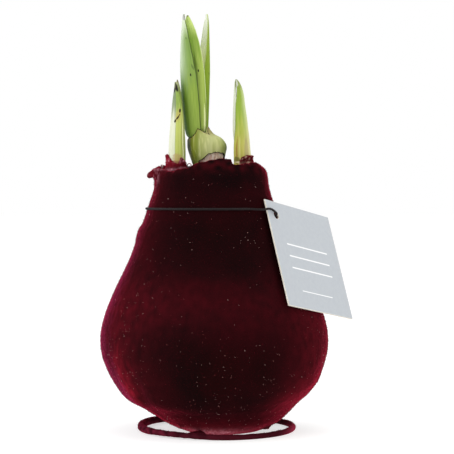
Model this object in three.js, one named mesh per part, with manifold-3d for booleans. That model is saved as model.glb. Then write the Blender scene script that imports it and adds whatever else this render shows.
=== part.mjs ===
// An amaryllis bulb dipped in wax and flocked with dark red velvet. It stands on a wire ring whose
// spike is pushed into its base, sends up three shoots, and wears a card tag on an elastic cord.
// Millimetres, +Z up, front towards -Y. The origin is on the flat base, under the bulb's axis.
import * as THREE from "three";
import { mergeVertices } from "three/addons/utils/BufferGeometryUtils.js";
import Module from "manifold-3d";

const wasm = await Module();
wasm.setup();

// ---------------------------------------------------------------- driving dimensions

const gap = 0.3; // left between pieces that touch

// The bulb's outline as [distance from the axis, height], up its left and its right side.
const bulb = {
  left: [
    [11, 0], [18.4, 3.6], [24.2, 7], [30.6, 10.3], [36.8, 15], [41.8, 22.2], [44.8, 30], [45.4, 38],
    [43.6, 47], [39.4, 57.5], [34.4, 67.5], [31.2, 77], [28.2, 84.5], [25.6, 92], [24, 98], [24, 101],
  ],
  right: [
    [18, 0], [22, 1.6], [26, 4.2], [31.6, 9], [37.4, 14.8], [42.2, 21.4], [44.9, 30], [45.5, 38],
    [43.7, 47], [39.8, 57.5], [35, 67.5], [30, 77], [26.2, 84.5], [23.8, 92], [22.3, 98], [21.8, 101],
  ],
  around: 60,
  rows: 32,
};

const rim = {
  // Height of the cut lip, as [degrees, height], once round.
  top: [
    [-20, 104.6], [0, 103.9], [25, 105.6], [60, 106.3], [100, 105.7], [140, 106.2], [175, 105.3],
    [200, 104.2], [214, 103.6], [228, 104.1], [241, 105], [257, 107.2], [270, 108], [282, 108.4],
    [290, 106.6], [305, 106.2], [328, 106.4], [340, 104.6], [360, 103.9],
  ],
  lip: [[0.1, 3.5], [0.5, 1.6], [1.4, 0.4], [2.4, 0], [3.4, 0.7], [4.2, 2.1]], // [inset, drop]
  floor: 101.6, // the crater inside the lip
};

const cord = { height: 88.6, radius: 0.5, knot: 62 }; // the knot's place, in degrees round the neck

// A square card. Its hole hangs on the cord, and it lies against the bulb's right shoulder.
const tag = {
  side: 44.6,
  thickness: 0.6,
  holeRadius: 1.6,
  holeInset: [5.7, 5.9], // from the upper left corner, across and down
  corner: [19.6, -15.9, 92.4],
  turn: 56.2, // degrees about the upright
  lean: -22.1, // degrees back from the upright
  roll: 10.9, // degrees clockwise in its own plane
};

// The ring lies on the table, but springs up a little at the front left, where the spoke leaves it.
// Wax has gathered on its left. Sections once round: [degrees, height of the middle, radius].
const stand = {
  ringRadius: 30.3,
  ringMiddle: [1.2, 0],
  sections: [
    [-50, 1, 1.05], [0, 1.05, 1.15], [60, 1.05, 1.15], [110, 1.1, 1.15], [150, 1.65, 1.5],
    [180, 1.5, 1.55], [205, 1.5, 1.4], [225, 1.75, 1.15], [248, 1.75, 1.05], [270, 1.2, 1.05],
    [310, 1, 1.05], [360, 1.05, 1.15],
  ],
  spokeAt: 248, // degrees
  spoke: { radius: 1.05, height: 1.3, bend: 3.5 },
  spike: [6, 3.5, 22],
};

// Sections of the cut bud sheath: [height, leftmost x, rightmost x, half depth].
const sheath = {
  sections: [
    [97, -7, 3.2, 4.9], [104, -7.9, 3.8, 5.2], [107, -8.8, 4.1, 5.5], [110, -9.8, 4.5, 5.9],
    [113, -10.6, 5.1, 6.2], [115, -10.7, 4.1, 6.1], [117, -10.65, 2.1, 5.8], [118.5, -10.65, 0, 5.5],
    [120, -10.65, -0.9, 5.4], [122, -10.6, -1.2, 5.4],
  ],
  y: 0.5,
  // The torn upper edge, as [degrees, height], once round.
  edge: [
    [0, 118.2], [45, 118.6], [90, 119.2], [135, 117], [180, 116.1], [225, 117.1], [248, 118.7],
    [262, 120.6], [282, 119.5], [305, 118.1], [321, 121.2], [338, 119.7], [360, 118.2],
  ],
  wall: 0.7,
  pocketFloor: 111.5,
  // The lower edge where the skin is torn away from the pale stub, as [x, height].
  tear: [
    [-6.4, 107.6], [-4.3, 109.1], [-2.8, 109.8], [-1.1, 110.4], [0.9, 110.9], [2.8, 110.5],
    [3.8, 109.8], [4.4, 109], [7, 108],
  ],
  stubInset: 0.7,
};

// Channelled leaves. Each station is [height, centre x, centre y, radius, half span in degrees].
const leafThickness = 0.8;
const leaves = {
  leaf_left: {
    facing: 209,
    color: "#8fb56a",
    stations: [
      [112, -6, 0.2, 2.9, 82], [116.2, -6.25, 0.3, 3.2, 82], [118, -6.7, 0.6, 3.85, 84],
      [119.5, -7.1, 0.75, 4.25, 86], [121, -7.3, 0.75, 4.5, 87], [126, -7.7, 0.45, 4.7, 88.5],
      [133, -8.3, 0.1, 4.7, 90], [140, -8.7, 0, 4.65, 86],
      [147, -9.05, 0, 4.5, 73], [153, -9.25, 0, 4.15, 60], [158.4, -9.5, 0, 3.6, 46],
      [162.5, -9.75, 0, 3, 30], [164.8, -10, 0, 2.6, 16], [166, -10.1, 0, 2.4, 4],
    ],
  },
  leaf_middle: {
    facing: 230,
    color: "#9dbb4f",
    stations: [
      [112, -5.2, 0.9, 2.1, 84], [117, -5.3, 0.9, 2.3, 86], [121, -5.5, 1, 3, 90],
      [131, -6, 1.3, 3.75, 89], [138, -6.3, 1.5, 3.95, 84], [144, -6.7, 1.5, 3.95, 82],
      [151.5, -7.4, 1.5, 3.75, 76], [156, -7.9, 1.5, 3.4, 68], [160.3, -8.4, 1.5, 3, 54],
      [163.2, -8.75, 1.5, 2.7, 36], [165, -8.95, 1.5, 2.55, 18], [165.7, -9, 1.5, 2.5, 5],
    ],
  },
  leaf_right: {
    facing: 26,
    color: "#9fbe3f",
    stations: [
      [112, -4.5, 1.6, 1.9, 90], [117, -4.5, 1.7, 1.95, 90], [121, -4.7, 2.2, 2.45, 98],
      [131, -4.9, 2.7, 3, 102], [142, -4.75, 3, 3.15, 101], [148, -4.6, 3, 3, 94],
      [151.5, -4.55, 3, 2.9, 86], [158.4, -4.35, 3, 2.5, 72], [162.5, -4.15, 3, 2.15, 60],
      [165.2, -4.1, 3, 1.85, 38], [166.5, -4.1, 3, 1.7, 8],
    ],
  },
  left_shoot_wrap: {
    facing: 216,
    color: "#b9c27a",
    stations: [
      [99.4, -14.75, -4, 3.45, 106], [107, -14.75, -4, 3.45, 106], [112, -14.7, -4, 3.35, 106],
      [117, -14.6, -4, 3.15, 104], [125, -14.35, -4, 2.75, 98], [131, -14.2, -4, 2.35, 82],
      [135.4, -14.15, -4, 1.85, 52], [137.8, -14.3, -4, 1.45, 28], [138.9, -14.4, -4, 1.3, 6],
    ],
  },
  right_shoot: {
    facing: 310,
    color: "#a8bd4b",
    stations: [
      [99.4, 11.3, -4.5, 3.6, 112], [107, 11.3, -4.5, 3.6, 116], [112.5, 11.05, -4.5, 3.35, 118],
      [115.5, 10.95, -4.5, 3.2, 112], [118, 10.85, -4.5, 3.05, 101], [120.5, 10.65, -4.5, 2.95, 90],
      [124, 10.4, -4.5, 2.8, 84], [130, 9.9, -4.5, 2.45, 73], [133.6, 9.7, -4.5, 2.2, 58],
      [136.8, 9.35, -4.5, 1.9, 44], [138.9, 8.95, -4.5, 1.7, 26], [139.9, 8.6, -4.5, 1.6, 5],
    ],
  },
  right_shoot_inner: {
    facing: 185,
    color: "#d5dcb8",
    stations: [
      [99.4, 10.85, -4.1, 1.75, 84], [107, 10.8, -4.1, 1.75, 84], [112, 10.3, -4, 1.65, 84],
      [115, 9.7, -3.7, 1.65, 84], [117.3, 9.55, -3.65, 1.8, 84], [119.5, 9.5, -3.65, 2, 84],
      [123, 9.5, -3.7, 2.05, 84], [127.2, 9.4, -3.85, 1.85, 84], [131.5, 9.3, -3.85, 1.55, 78],
      [136, 9.1, -3.95, 1.15, 60], [138.4, 9.2, -4.1, 1.05, 34], [139.6, 9.4, -4.2, 1, 10],
    ],
  },
};

// The rolled heart of the left shoot: [height, centre x, centre y, radius].
const heartStations = [
  [99.4, -13.35, -3.3, 2.1], [107, -13.35, -3.3, 2.1], [112, -13.35, -3.3, 2.1],
  [119.4, -13.5, -3.4, 1.95], [128.6, -13.85, -3.3, 1.6], [134.1, -14, -3.1, 1.1],
  [138.2, -14.35, -3, 0.6], [139.9, -14.6, -3, 0.2],
];

// Collars of wax that climb round the two outer shoots, with peaks as [degrees, extra height].
const collarWall = 0.75;
const collars = {
  left: { x: -14.6, y: -3.9, hole: 4.1, low: 104.6, peaks: [[182, 5.6], [280, 1], [70, 2.2]] },
  right: { x: 11.2, y: -4.2, hole: 4.4, low: 105.4, peaks: [[330, 1.6], [270, 0.8], [60, 1.8]] },
};
const socketFloor = 99;

// ---------------------------------------------------------------- helpers

const radians = THREE.MathUtils.degToRad;

// A smooth function through [position, value, value, ...] keys, with one result for each value.
function through(keys) {
  const positions = keys.map((key) => key[0]);
  const values = keys.flatMap((key) => key.slice(1));
  const curve = new THREE.CubicInterpolant(positions, values, keys[0].length - 1);
  return (position) => [...curve.evaluate(position)];
}

// 1 at the middle angle, falling away to nothing over a width, all in radians.
function bump(angle, middle, width) {
  const away = Math.atan2(Math.sin(angle - middle), Math.cos(angle - middle));
  return Math.exp(-((away / width) ** 2));
}

const bell = (value, middle, width) => Math.exp(-(((value - middle) / width) ** 2));

// Evenly spaced numbers from first to last, both included.
const steps = (first, last, count) =>
  Array.from({ length: count }, (_, i) => THREE.MathUtils.lerp(first, last, i / (count - 1)));

const turnAngles = (count) => steps(0, 2 * Math.PI, count + 1).slice(0, -1);

function faced(points, faces) {
  const geometry = new THREE.BufferGeometry().setFromPoints(points);
  geometry.setIndex(faces);
  geometry.computeVertexNormals();
  return geometry;
}

// A closed skin over rings of points, counter-clockwise from above, with a fan over each end.
function skin(rings) {
  const count = rings[0].length;
  const points = rings.flat();
  const middle = (ring) => ring.reduce((sum, p) => sum.add(p), new THREE.Vector3()).divideScalar(count);
  const bottom = points.push(middle(rings[0])) - 1;
  const top = points.push(middle(rings.at(-1))) - 1;
  const faces = [];
  for (let i = 0; i < count; i++) {
    const next = (i + 1) % count;
    for (let row = 0; row + 1 < rings.length; row++) {
      const [a, b] = [row * count + i, row * count + next];
      faces.push(a, b, b + count, a, b + count, a + count);
    }
    const lastRow = (rings.length - 1) * count;
    faces.push(bottom, next, i, top, lastRow + i, lastRow + next);
  }
  return faced(points, faces);
}

// A closed slab between an outer and an inner sheet, each a list of rows of points.
function slab(outer, inner) {
  const [rows, columns] = [outer.length, outer[0].length];
  const points = [...outer.flat(), ...inner.flat()];
  const out = (row, column) => row * columns + column;
  const into = (row, column) => rows * columns + out(row, column);
  const faces = [];
  const quad = (a, b, c, d) => faces.push(a, b, c, a, c, d);
  for (let r = 0; r + 1 < rows; r++) {
    for (let c = 0; c + 1 < columns; c++) {
      quad(out(r, c), out(r, c + 1), out(r + 1, c + 1), out(r + 1, c));
      quad(into(r, c + 1), into(r, c), into(r + 1, c), into(r + 1, c + 1));
    }
    quad(into(r, 0), out(r, 0), out(r + 1, 0), into(r + 1, 0));
    quad(out(r, columns - 1), into(r, columns - 1), into(r + 1, columns - 1), out(r + 1, columns - 1));
  }
  for (let c = 0; c + 1 < columns; c++) {
    quad(into(0, c), into(0, c + 1), out(0, c + 1), out(0, c));
    quad(out(rows - 1, c), out(rows - 1, c + 1), into(rows - 1, c + 1), into(rows - 1, c));
  }
  return faced(points, faces);
}

function ellipseRing(x, y, z, radiusX, radiusY, count) {
  const height = typeof z === "function" ? z : () => z;
  const point = (angle) =>
    new THREE.Vector3(x + radiusX * Math.cos(angle), y + radiusY * Math.sin(angle), height(angle));
  return turnAngles(count).map(point);
}

// A curve whose steps follow its points, so that the steps are short where the points lie close.
class PacedCurve extends THREE.CatmullRomCurve3 {
  constructor(points) {
    super(points, false, "centripetal");
  }

  getPointAt(u, target) {
    return this.getPoint(u, target);
  }

  getTangentAt(u, target) {
    return this.getTangent(u, target);
  }
}

// A round wire or cord along a curve, with flat ends.
function tube(path, radius, stepCount, sides) {
  const corner = (angle) => new THREE.Vector2(radius * Math.cos(angle), radius * Math.sin(angle));
  const section = new THREE.Shape(turnAngles(sides).map(corner));
  return new THREE.ExtrudeGeometry(section, { steps: stepCount, extrudePath: path });
}

function solid(geometry) {
  const bare = geometry.clone();
  bare.deleteAttribute("normal");
  bare.deleteAttribute("uv");
  const merged = mergeVertices(bare, 1e-3);
  const vertProperties = merged.attributes.position.array;
  return new wasm.Manifold(
    new wasm.Mesh({ numProp: 3, vertProperties, triVerts: new Uint32Array(merged.index.array) }),
  );
}

function meshed(manifold) {
  const { vertProperties, triVerts } = manifold.getMesh();
  const geometry = new THREE.BufferGeometry();
  geometry.setAttribute("position", new THREE.BufferAttribute(vertProperties, 3));
  geometry.setIndex(new THREE.BufferAttribute(triVerts, 1));
  geometry.computeVertexNormals();
  return geometry;
}

function piece(name, geometry, color, roughness, metalness = 0) {
  const mesh = new THREE.Mesh(geometry, new THREE.MeshStandardMaterial({ color, roughness, metalness }));
  mesh.name = name;
  return mesh;
}

// ---------------------------------------------------------------- bulb

const [leftSide, rightSide] = [bulb.left, bulb.right].map(
  (side) => new THREE.SplineCurve(side.map(([r, z]) => new THREE.Vector2(r, z))),
);

// Soft swellings of the scales under the wax, a crease low on the left, and a flatter shoulder
// on the right of the front, where the card lies.
function relief(angle, z) {
  const body = bell(z, 34, 30);
  const swellings = 0.35 * Math.sin(3 * angle + 0.6) + 0.25 * Math.sin(5 * angle - 0.05 * z);
  const crease = -0.9 * bump(angle, radians(222), 0.1) * bell(z, 20, 12);
  const ridge = 0.6 * bump(angle, radians(213), 0.12) * bell(z, 22, 13);
  const shoulder = 0.3 * Math.sin(4 * angle + 0.11 * z) * bell(z, 72, 20);
  const flat = -1.7 * bump(angle, radians(318), 0.5) * bell(z, 57, 17);
  return swellings * body + crease + ridge + shoulder + flat;
}

// [distance from the axis, height] of the bulb's side; along runs from 0 at the base to 1 under the lip.
function bulbSide(angle, along) {
  const share = (1 + Math.cos(angle)) / 2;
  const { x, y } = leftSide.getPoint(along).lerp(rightSide.getPoint(along), share);
  return [x + relief(angle, y) * Math.min(1, y / 6), y];
}

// Distance from the axis to the bulb's side at a height.
function bulbRadius(angle, z) {
  let [low, high] = [0.3, 1];
  for (let i = 0; i < 30; i++) {
    const middle = (low + high) / 2;
    if (bulbSide(angle, middle)[1] < z) low = middle;
    else high = middle;
  }
  return bulbSide(angle, low)[0];
}

const lipTop = through(rim.top);
const lipHeight = (angle) => lipTop(THREE.MathUtils.radToDeg(angle))[0];

// The wax curls outwards over the left of the lip.
const lipCurl = (angle) => 2.1 * bump(angle, radians(186), 0.17) + 0.5 * bump(angle, radians(120), 0.2);

function bulbRings() {
  const angles = turnAngles(bulb.around);
  const at = (angle, r, z) => new THREE.Vector3(r * Math.cos(angle), r * Math.sin(angle), z);
  const sides = steps(0, 1, bulb.rows).map((along) =>
    angles.map((angle) => at(angle, ...bulbSide(angle, along))),
  );
  const neck = (angle) => bulbSide(angle, 1)[0];
  const lip = rim.lip.map(([inset, drop], row) =>
    angles.map((angle) => {
      const curl = lipCurl(angle) * (row < 3 ? 1 : 0.4);
      return at(angle, neck(angle) - inset + curl, lipHeight(angle) - drop);
    }),
  );
  const floor = [0.8, 0.55, 0.28].map((share) =>
    angles.map((angle) => {
      const roughness = 0.4 * Math.sin(5 * angle + 9 * share) + 0.3 * Math.cos(3 * angle - 14 * share);
      return at(angle, (neck(angle) - rim.lip.at(-1)[0]) * share, rim.floor + roughness * share);
    }),
  );
  return [...sides, ...lip, ...floor];
}

function collarSolid({ x, y, hole, low, peaks }) {
  const top = (angle) => peaks.reduce((z, [at, high]) => z + high * bump(angle, radians(at), 0.5), low);
  const radius = hole + collarWall;
  return solid(
    skin([
      ellipseRing(x, y, socketFloor + 1, radius + 0.6, radius + 0.6, 28),
      ellipseRing(x, y, rim.floor + 0.6, radius + 0.5, radius + 0.5, 28),
      ellipseRing(x, y, (angle) => top(angle) - 1, radius, radius, 28),
      ellipseRing(x, y, top, radius - 0.5, radius - 0.5, 28),
    ]),
  );
}

const socketSolid = ({ x, y, hole }) =>
  solid(skin([socketFloor, socketFloor + 16].map((z) => ellipseRing(x, y, z, hole, hole, 28))));

// A small bead of wax where the curl of the lip ends.
function beadSolid() {
  const bead = new THREE.SphereGeometry(1.35, 10, 8);
  bead.scale(1.25, 1.1, 1);
  bead.translate(-25.3, -3, 102.2);
  return solid(bead);
}

function bulbGeometry() {
  let body = solid(skin(bulbRings())).add(beadSolid());
  for (const collar of Object.values(collars)) body = body.add(collarSolid(collar));
  for (const collar of Object.values(collars)) body = body.subtract(socketSolid(collar));
  body = body.subtract(solid(skin(sheathRings(gap, socketFloor, 116))));
  return meshed(body.subtract(spokeHole()));
}

// ---------------------------------------------------------------- wire stand

const ringSection = through(stand.sections);

function ringPoint(degrees) {
  const [height] = ringSection(degrees);
  const [x, y] = stand.ringMiddle;
  return new THREE.Vector3(stand.ringRadius, 0, 0)
    .applyAxisAngle(new THREE.Vector3(0, 0, 1), radians(degrees))
    .add(new THREE.Vector3(x, y, height));
}

// From the tip of the spike, down into the base, and out to the ring.
function spokePoints() {
  const [x, y, top] = stand.spike;
  const { height, bend } = stand.spoke;
  const foot = new THREE.Vector3(x, y, height);
  const joint = ringPoint(stand.spokeAt);
  const out = joint.clone().sub(foot).normalize();
  return [
    new THREE.Vector3(x, y, top),
    new THREE.Vector3(x, y, (top + bend) / 2),
    new THREE.Vector3(x, y, height + bend),
    foot.clone().addScaledVector(out, bend * 0.3).setZ(height + bend * 0.3),
    foot.clone().addScaledVector(out, bend),
    foot.clone().lerp(joint, 0.6).setZ(height),
    joint,
  ];
}

// The hole for the wire starts a little above the spike's tip.
function spokeHole() {
  const [tip, ...others] = spokePoints();
  tip.z += 2 * gap;
  const radius = stand.spoke.radius + 1.2 * gap;
  return solid(tube(new PacedCurve([tip, ...others]), radius, 2 * others.length, 10));
}

function ringGeometry() {
  const ring = new THREE.TorusGeometry(stand.ringRadius, 1, 10, 60);
  const corners = ring.attributes.position;
  for (let i = 0; i < corners.count; i++) {
    const [x, y, z] = [corners.getX(i), corners.getY(i), corners.getZ(i)];
    const angle = Math.atan2(y, x);
    const [height, radius] = ringSection((THREE.MathUtils.radToDeg(angle) + 360) % 360);
    const distance = stand.ringRadius + (Math.hypot(x, y) - stand.ringRadius) * radius;
    corners.setXYZ(i, distance * Math.cos(angle), distance * Math.sin(angle), z * radius + height);
  }
  return ring.translate(...stand.ringMiddle, 0);
}

// The ring and its spoke in one, ground flat where they lie on the table.
function standGeometry() {
  const points = spokePoints();
  const spoke = tube(new PacedCurve(points), stand.spoke.radius, 2 * (points.length - 1), 10);
  const below = new THREE.BoxGeometry(100, 100, 10).translate(0, 0, -5);
  return meshed(solid(ringGeometry()).add(solid(spoke)).subtract(solid(below)));
}

// ---------------------------------------------------------------- shoots

function leafGeometry({ facing, stations }) {
  const at = through(stations);
  const [bottom, top] = [stations[0][0], stations.at(-1)[0]];
  const heights = steps(0, 1, 18).map((t) => bottom + (top - bottom) * (1 - (1 - t) ** 1.5));
  const sheetOf = (depth) =>
    heights.map((z) => {
      const [x, y, radius, halfSpan] = at(z);
      return steps(-1, 1, 8).map((across) => {
        const angle = radians(facing + halfSpan * across);
        const r = radius - depth * (1 - 0.25 * across ** 4);
        return new THREE.Vector3(x + r * Math.cos(angle), y + r * Math.sin(angle), z);
      });
    });
  return slab(sheetOf(0), sheetOf(leafThickness));
}

function heartGeometry() {
  const at = through(heartStations);
  return skin(
    steps(heartStations[0][0], heartStations.at(-1)[0], 16).map((z) => {
      const [x, y, radius] = at(z);
      return ellipseRing(x, y, z, radius, radius, 12);
    }),
  );
}

// ---------------------------------------------------------------- bud sheath and its stub

const sheathSection = through(sheath.sections);
const sheathAround = 40;

// Rings of the sheath's outer form, grown by an amount, from one height up to another.
function sheathRings(grown, bottom, top) {
  return steps(bottom, top, 9).map((z) => {
    const [left, right, depth] = sheathSection(z);
    const [x, halfWidth] = [(left + right) / 2, (right - left) / 2];
    return ellipseRing(x, sheath.y, z, halfWidth + grown, depth + grown, sheathAround);
  });
}

function edgeHeight(angle) {
  const degrees = THREE.MathUtils.radToDeg(angle);
  const after = sheath.edge.findIndex(([at]) => at > degrees);
  const [[from, low], [to, high]] = [sheath.edge[after - 1], sheath.edge[after]];
  return THREE.MathUtils.lerp(low, high, (degrees - from) / (to - from));
}

function sheathForm() {
  const angles = turnAngles(sheathAround);
  const point = (angle, z, inset) => {
    const [left, right, depth] = sheathSection(z);
    const x = (left + right) / 2 + ((right - left) / 2 - inset) * Math.cos(angle);
    return new THREE.Vector3(x, sheath.y + (depth - inset) * Math.sin(angle), z);
  };
  const bottom = socketFloor + gap;
  const outside = steps(0, 1, 14).map((t) =>
    angles.map((angle) => point(angle, THREE.MathUtils.lerp(bottom, edgeHeight(angle), t), 0)),
  );
  // Inside, the pocket keeps the section of the collar, round the leaves.
  const [left, right, depth] = sheathSection(121);
  const pocket = (height) =>
    angles.map((angle) => {
      const x = (left + right) / 2 + ((right - left) / 2 - sheath.wall) * Math.cos(angle);
      return new THREE.Vector3(x, sheath.y + (depth - sheath.wall) * Math.sin(angle), height(angle));
    });
  return skin([...outside, pocket((angle) => edgeHeight(angle) - 0.2), pocket(() => sheath.pocketFloor)]);
}

// The front lower part that the tear lays bare.
function tearSolid(shrunk) {
  const peak = 0.4;
  const line = sheath.tear.map(
    ([x, z]) => new THREE.Vector2(x - shrunk * Math.sign(x - peak), z - shrunk),
  );
  const below = socketFloor - 2;
  const outline = new THREE.Shape([
    new THREE.Vector2(line[0].x, below),
    new THREE.Vector2(line.at(-1).x, below),
    ...line.reverse(),
  ]);
  const block = new THREE.ExtrudeGeometry(outline, { depth: 9 - shrunk, bevelEnabled: false });
  block.rotateX(Math.PI / 2);
  block.translate(0, 1.5 - shrunk, 0);
  return solid(block);
}

const sheathGeometry = () => meshed(solid(sheathForm()).subtract(tearSolid(0)));

function stubGeometry() {
  const core = solid(skin(sheathRings(-sheath.stubInset, socketFloor + gap, 114)));
  return meshed(core.intersect(tearSolid(gap)));
}

// ---------------------------------------------------------------- tag and cord

const cordClear = cord.radius + gap + 0.15; // the neck slopes, which takes some of the gap

// Places the card: local x across, z up, y away from the printed face, from its upper left corner.
function tagPlace() {
  const place = new THREE.Object3D();
  place.position.set(...tag.corner);
  place.rotation.set(radians(tag.lean), radians(tag.roll), radians(tag.turn), "ZXY");
  place.updateMatrixWorld();
  return place;
}

function tagGeometry() {
  const outline = new THREE.Shape([
    new THREE.Vector2(0, 0),
    new THREE.Vector2(0, -tag.side),
    new THREE.Vector2(tag.side, -tag.side),
    new THREE.Vector2(tag.side, 0),
  ]);
  const hole = new THREE.Path();
  hole.absarc(tag.holeInset[0], -tag.holeInset[1], tag.holeRadius, 0, 2 * Math.PI);
  outline.holes.push(hole);
  const card = new THREE.ExtrudeGeometry(outline, {
    depth: tag.thickness,
    bevelEnabled: false,
    curveSegments: 10,
  });
  card.rotateX(Math.PI / 2);
  card.translate(0, tag.thickness / 2, 0);
  return card;
}

// From the knot once round the neck, over the card's edge, down its hole and back to the knot.
function cordPath() {
  const onNeck = (degrees) => {
    const angle = radians(degrees);
    const off = 0.5 * bump(angle, radians(cord.knot), 0.1);
    const r = bulbRadius(angle, cord.height) + cordClear + off;
    return new THREE.Vector3(r * Math.cos(angle), r * Math.sin(angle), cord.height);
  };
  const place = tagPlace();
  const onTag = (across, down, back) => place.localToWorld(new THREE.Vector3(across, back, -down));
  const [across, down] = tag.holeInset;
  const lift = tag.thickness / 2 + gap + cord.radius;
  return new PacedCurve([
    ...steps(cord.knot, 302, 26).map(onNeck),
    onTag(-2.3, 5, -lift * 0.4),
    onTag(-0.2, 4.6, -lift - 0.1),
    onTag(1.6, 4.5, -lift - 0.2),
    onTag(across - 2.6, down - 0.95, -lift - 0.2),
    onTag(across - 1.2, down - 0.45, -lift - 0.1),
    onTag(across - 0.3, down - 0.15, -lift * 0.6),
    onTag(across, down, 0),
    onTag(across + 0.5, down + 0.2, lift * 0.75),
    onTag(across + 1.6, down - 0.3, lift + 0.2),
    onTag(across + 4.2, down - 2.2, lift + 0.5),
    ...steps(348, 360 + cord.knot, 8).map(onNeck),
  ]);
}

function cordGeometry() {
  const path = cordPath();
  const loop = solid(tube(path, cord.radius, 2 * (path.points.length - 1), 8));
  const start = path.points[0];
  const knot = new THREE.SphereGeometry(1.15, 10, 8);
  knot.translate(start.x, start.y, start.z);
  const tail = (aside) => {
    const end = start.clone().add(new THREE.Vector3(2 + aside, 3 - aside, -5));
    const middle = start.clone().lerp(end, 0.5).add(new THREE.Vector3(0.5, 0.9, 0.8));
    return solid(tube(new THREE.CatmullRomCurve3([start, middle, end]), cord.radius, 6, 8));
  };
  return meshed(loop.add(solid(knot)).add(tail(0)).add(tail(2)));
}

// ---------------------------------------------------------------- the whole

const amaryllis = new THREE.Group();
amaryllis.add(
  piece("bulb", bulbGeometry(), "#4a0c18", 0.95),
  piece("wire_stand", standGeometry(), "#4f0f22", 0.9),
  piece("bud_sheath", sheathGeometry(), "#a3ad5e", 0.5),
  piece("sheath_stub", stubGeometry(), "#d8b79c", 0.7),
  piece("left_shoot_heart", heartGeometry(), "#a9b45a", 0.5),
  piece("elastic_cord", cordGeometry(), "#16130f", 0.8),
);
for (const [name, leaf] of Object.entries(leaves)) {
  amaryllis.add(piece(name, leafGeometry(leaf), leaf.color, 0.45));
}

const card = piece("hang_tag", tagGeometry(), "#c5cad0", 0.6);
card.position.copy(tagPlace().position);
card.rotation.copy(tagPlace().rotation);
amaryllis.add(card);

export default amaryllis;
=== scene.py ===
import math

import bpy
import numpy as np
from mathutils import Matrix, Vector, noise


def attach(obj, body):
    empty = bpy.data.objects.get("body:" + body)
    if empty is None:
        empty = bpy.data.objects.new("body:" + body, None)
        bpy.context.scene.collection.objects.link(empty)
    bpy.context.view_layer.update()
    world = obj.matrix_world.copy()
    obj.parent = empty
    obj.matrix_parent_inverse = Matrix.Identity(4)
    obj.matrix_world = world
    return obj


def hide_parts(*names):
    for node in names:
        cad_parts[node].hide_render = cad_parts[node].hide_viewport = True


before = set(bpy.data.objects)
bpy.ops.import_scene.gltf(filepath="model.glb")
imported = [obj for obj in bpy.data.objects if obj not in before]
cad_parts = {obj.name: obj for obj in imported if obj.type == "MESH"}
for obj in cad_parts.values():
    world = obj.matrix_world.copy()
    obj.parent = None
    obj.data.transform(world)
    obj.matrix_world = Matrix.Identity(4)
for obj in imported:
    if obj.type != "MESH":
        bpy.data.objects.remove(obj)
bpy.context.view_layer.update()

# A waxed and flocked amaryllis bulb on its wire ring. Sizes are in millimetres until a mesh is made, and
# in metres in the node trees.
mm = 0.001
fullTurn = 2 * math.pi
scene = bpy.context.scene


# Curves, soft steps and noise, on plain numbers and arrays of them.
def cubic(t, start, end, startSlope, endSlope):
    # from start to end while t runs from 0 to 1
    fall = start - end
    bend = (2 * fall + startSlope + endSlope) * t - 3 * fall - 2 * startSlope - endSlope
    return (bend * t + startSlope) * t + start


def through(keys):
    # a smooth function through [position, value, value, ...] keys
    keys = np.array(keys, float)
    at, values = keys[:, 0], keys[:, 1:]
    slopes = np.diff(values, axis=0) / np.diff(at)[:, None]
    slopes = np.vstack([slopes[:1], (slopes[:-1] + slopes[1:]) / 2, slopes[-1:]])

    def curve(position):
        position = np.clip(np.asarray(position, float), at[0], at[-1])
        i = np.clip(np.searchsorted(at, position, side="right") - 1, 0, len(at) - 2)
        width = (at[i + 1] - at[i])[..., None]
        share = (position - at[i])[..., None] / width
        return cubic(share, values[i], values[i + 1], width * slopes[i], width * slopes[i + 1])

    return curve


def between(position, rows):
    # straight from one [position, value] row to the next
    return np.interp(position, *np.array(rows, float).T)


def splinePoint(points, share):
    # a point on an even curve through the points, share running from 0 to 1 along it
    points = np.array(points, float)
    last = len(points) - 1
    place = np.asarray(share, float) * last
    i = np.clip(place.astype(int), 0, last - 1)
    p0, p1, p2, p3 = (points[np.clip(i + k, 0, last)] for k in (-1, 0, 1, 2))
    return cubic((place - i)[..., None], p1, p2, (p2 - p0) / 2, (p3 - p1) / 2)


def easyCurve(points, perStep):
    # a curve that doesn't overshoot, with perStep points for each one given
    points = np.array(points, float)
    around = np.vstack([2 * points[0] - points[1], points, 2 * points[-1] - points[-2]])
    share = np.arange(perStep)[:, None] / perStep
    rows = []
    for p0, p1, p2, p3 in zip(around, around[1:], around[2:], around[3:]):
        d0, d1, d2 = (max(np.linalg.norm(b - a), 1e-6) ** 0.5 for a, b in ((p0, p1), (p1, p2), (p2, p3)))
        m1 = ((p1 - p0) / d0 - (p2 - p0) / (d0 + d1) + (p2 - p1) / d1) * d1
        m2 = ((p2 - p1) / d1 - (p3 - p1) / (d1 + d2) + (p3 - p2) / d2) * d1
        rows.append(cubic(share, p1, p2, m1, m2))
    return np.vstack([*rows, points[-1:]])


def bump(angle, middle, width):
    # 1 at the middle, given in degrees, falling away over a width in radians
    away = np.angle(np.exp(1j * (angle - math.radians(middle))))
    return np.exp(-((away / width) ** 2))


def bell(value, middle, width):
    return np.exp(-(((value - middle) / width) ** 2))


def patches(angle, z, rows):
    # soft patches round an upright piece, as [strength, degrees, width in radians, height, reach up and down]
    return sum(row[0] * bump(angle, *row[1:3]) * bell(z, *row[3:]) for row in rows)


def smooth(low, high, value):
    t = np.clip((value - low) / (high - low), 0, 1)
    return t * t * (3 - 2 * t)


def ripple(points, size, seed=0):
    # soft noise from about -1 to 1, its swellings about a size across
    shift = Vector((17.3 * seed, -9.1 * seed, 4.7 * seed))
    flat = np.asarray(points, float).reshape(-1, 3)
    values = [noise.noise(Vector(p) / size + shift) for p in flat]
    return np.array(values).reshape(np.shape(points)[:-1])


# Points, faces and mesh objects.
def allRound(count):
    return np.linspace(0, fullTurn, count, endpoint=False)


def roundPoints(angle, r, z):
    return np.stack([r * np.cos(angle), r * np.sin(angle), z + 0 * angle], -1)


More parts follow.
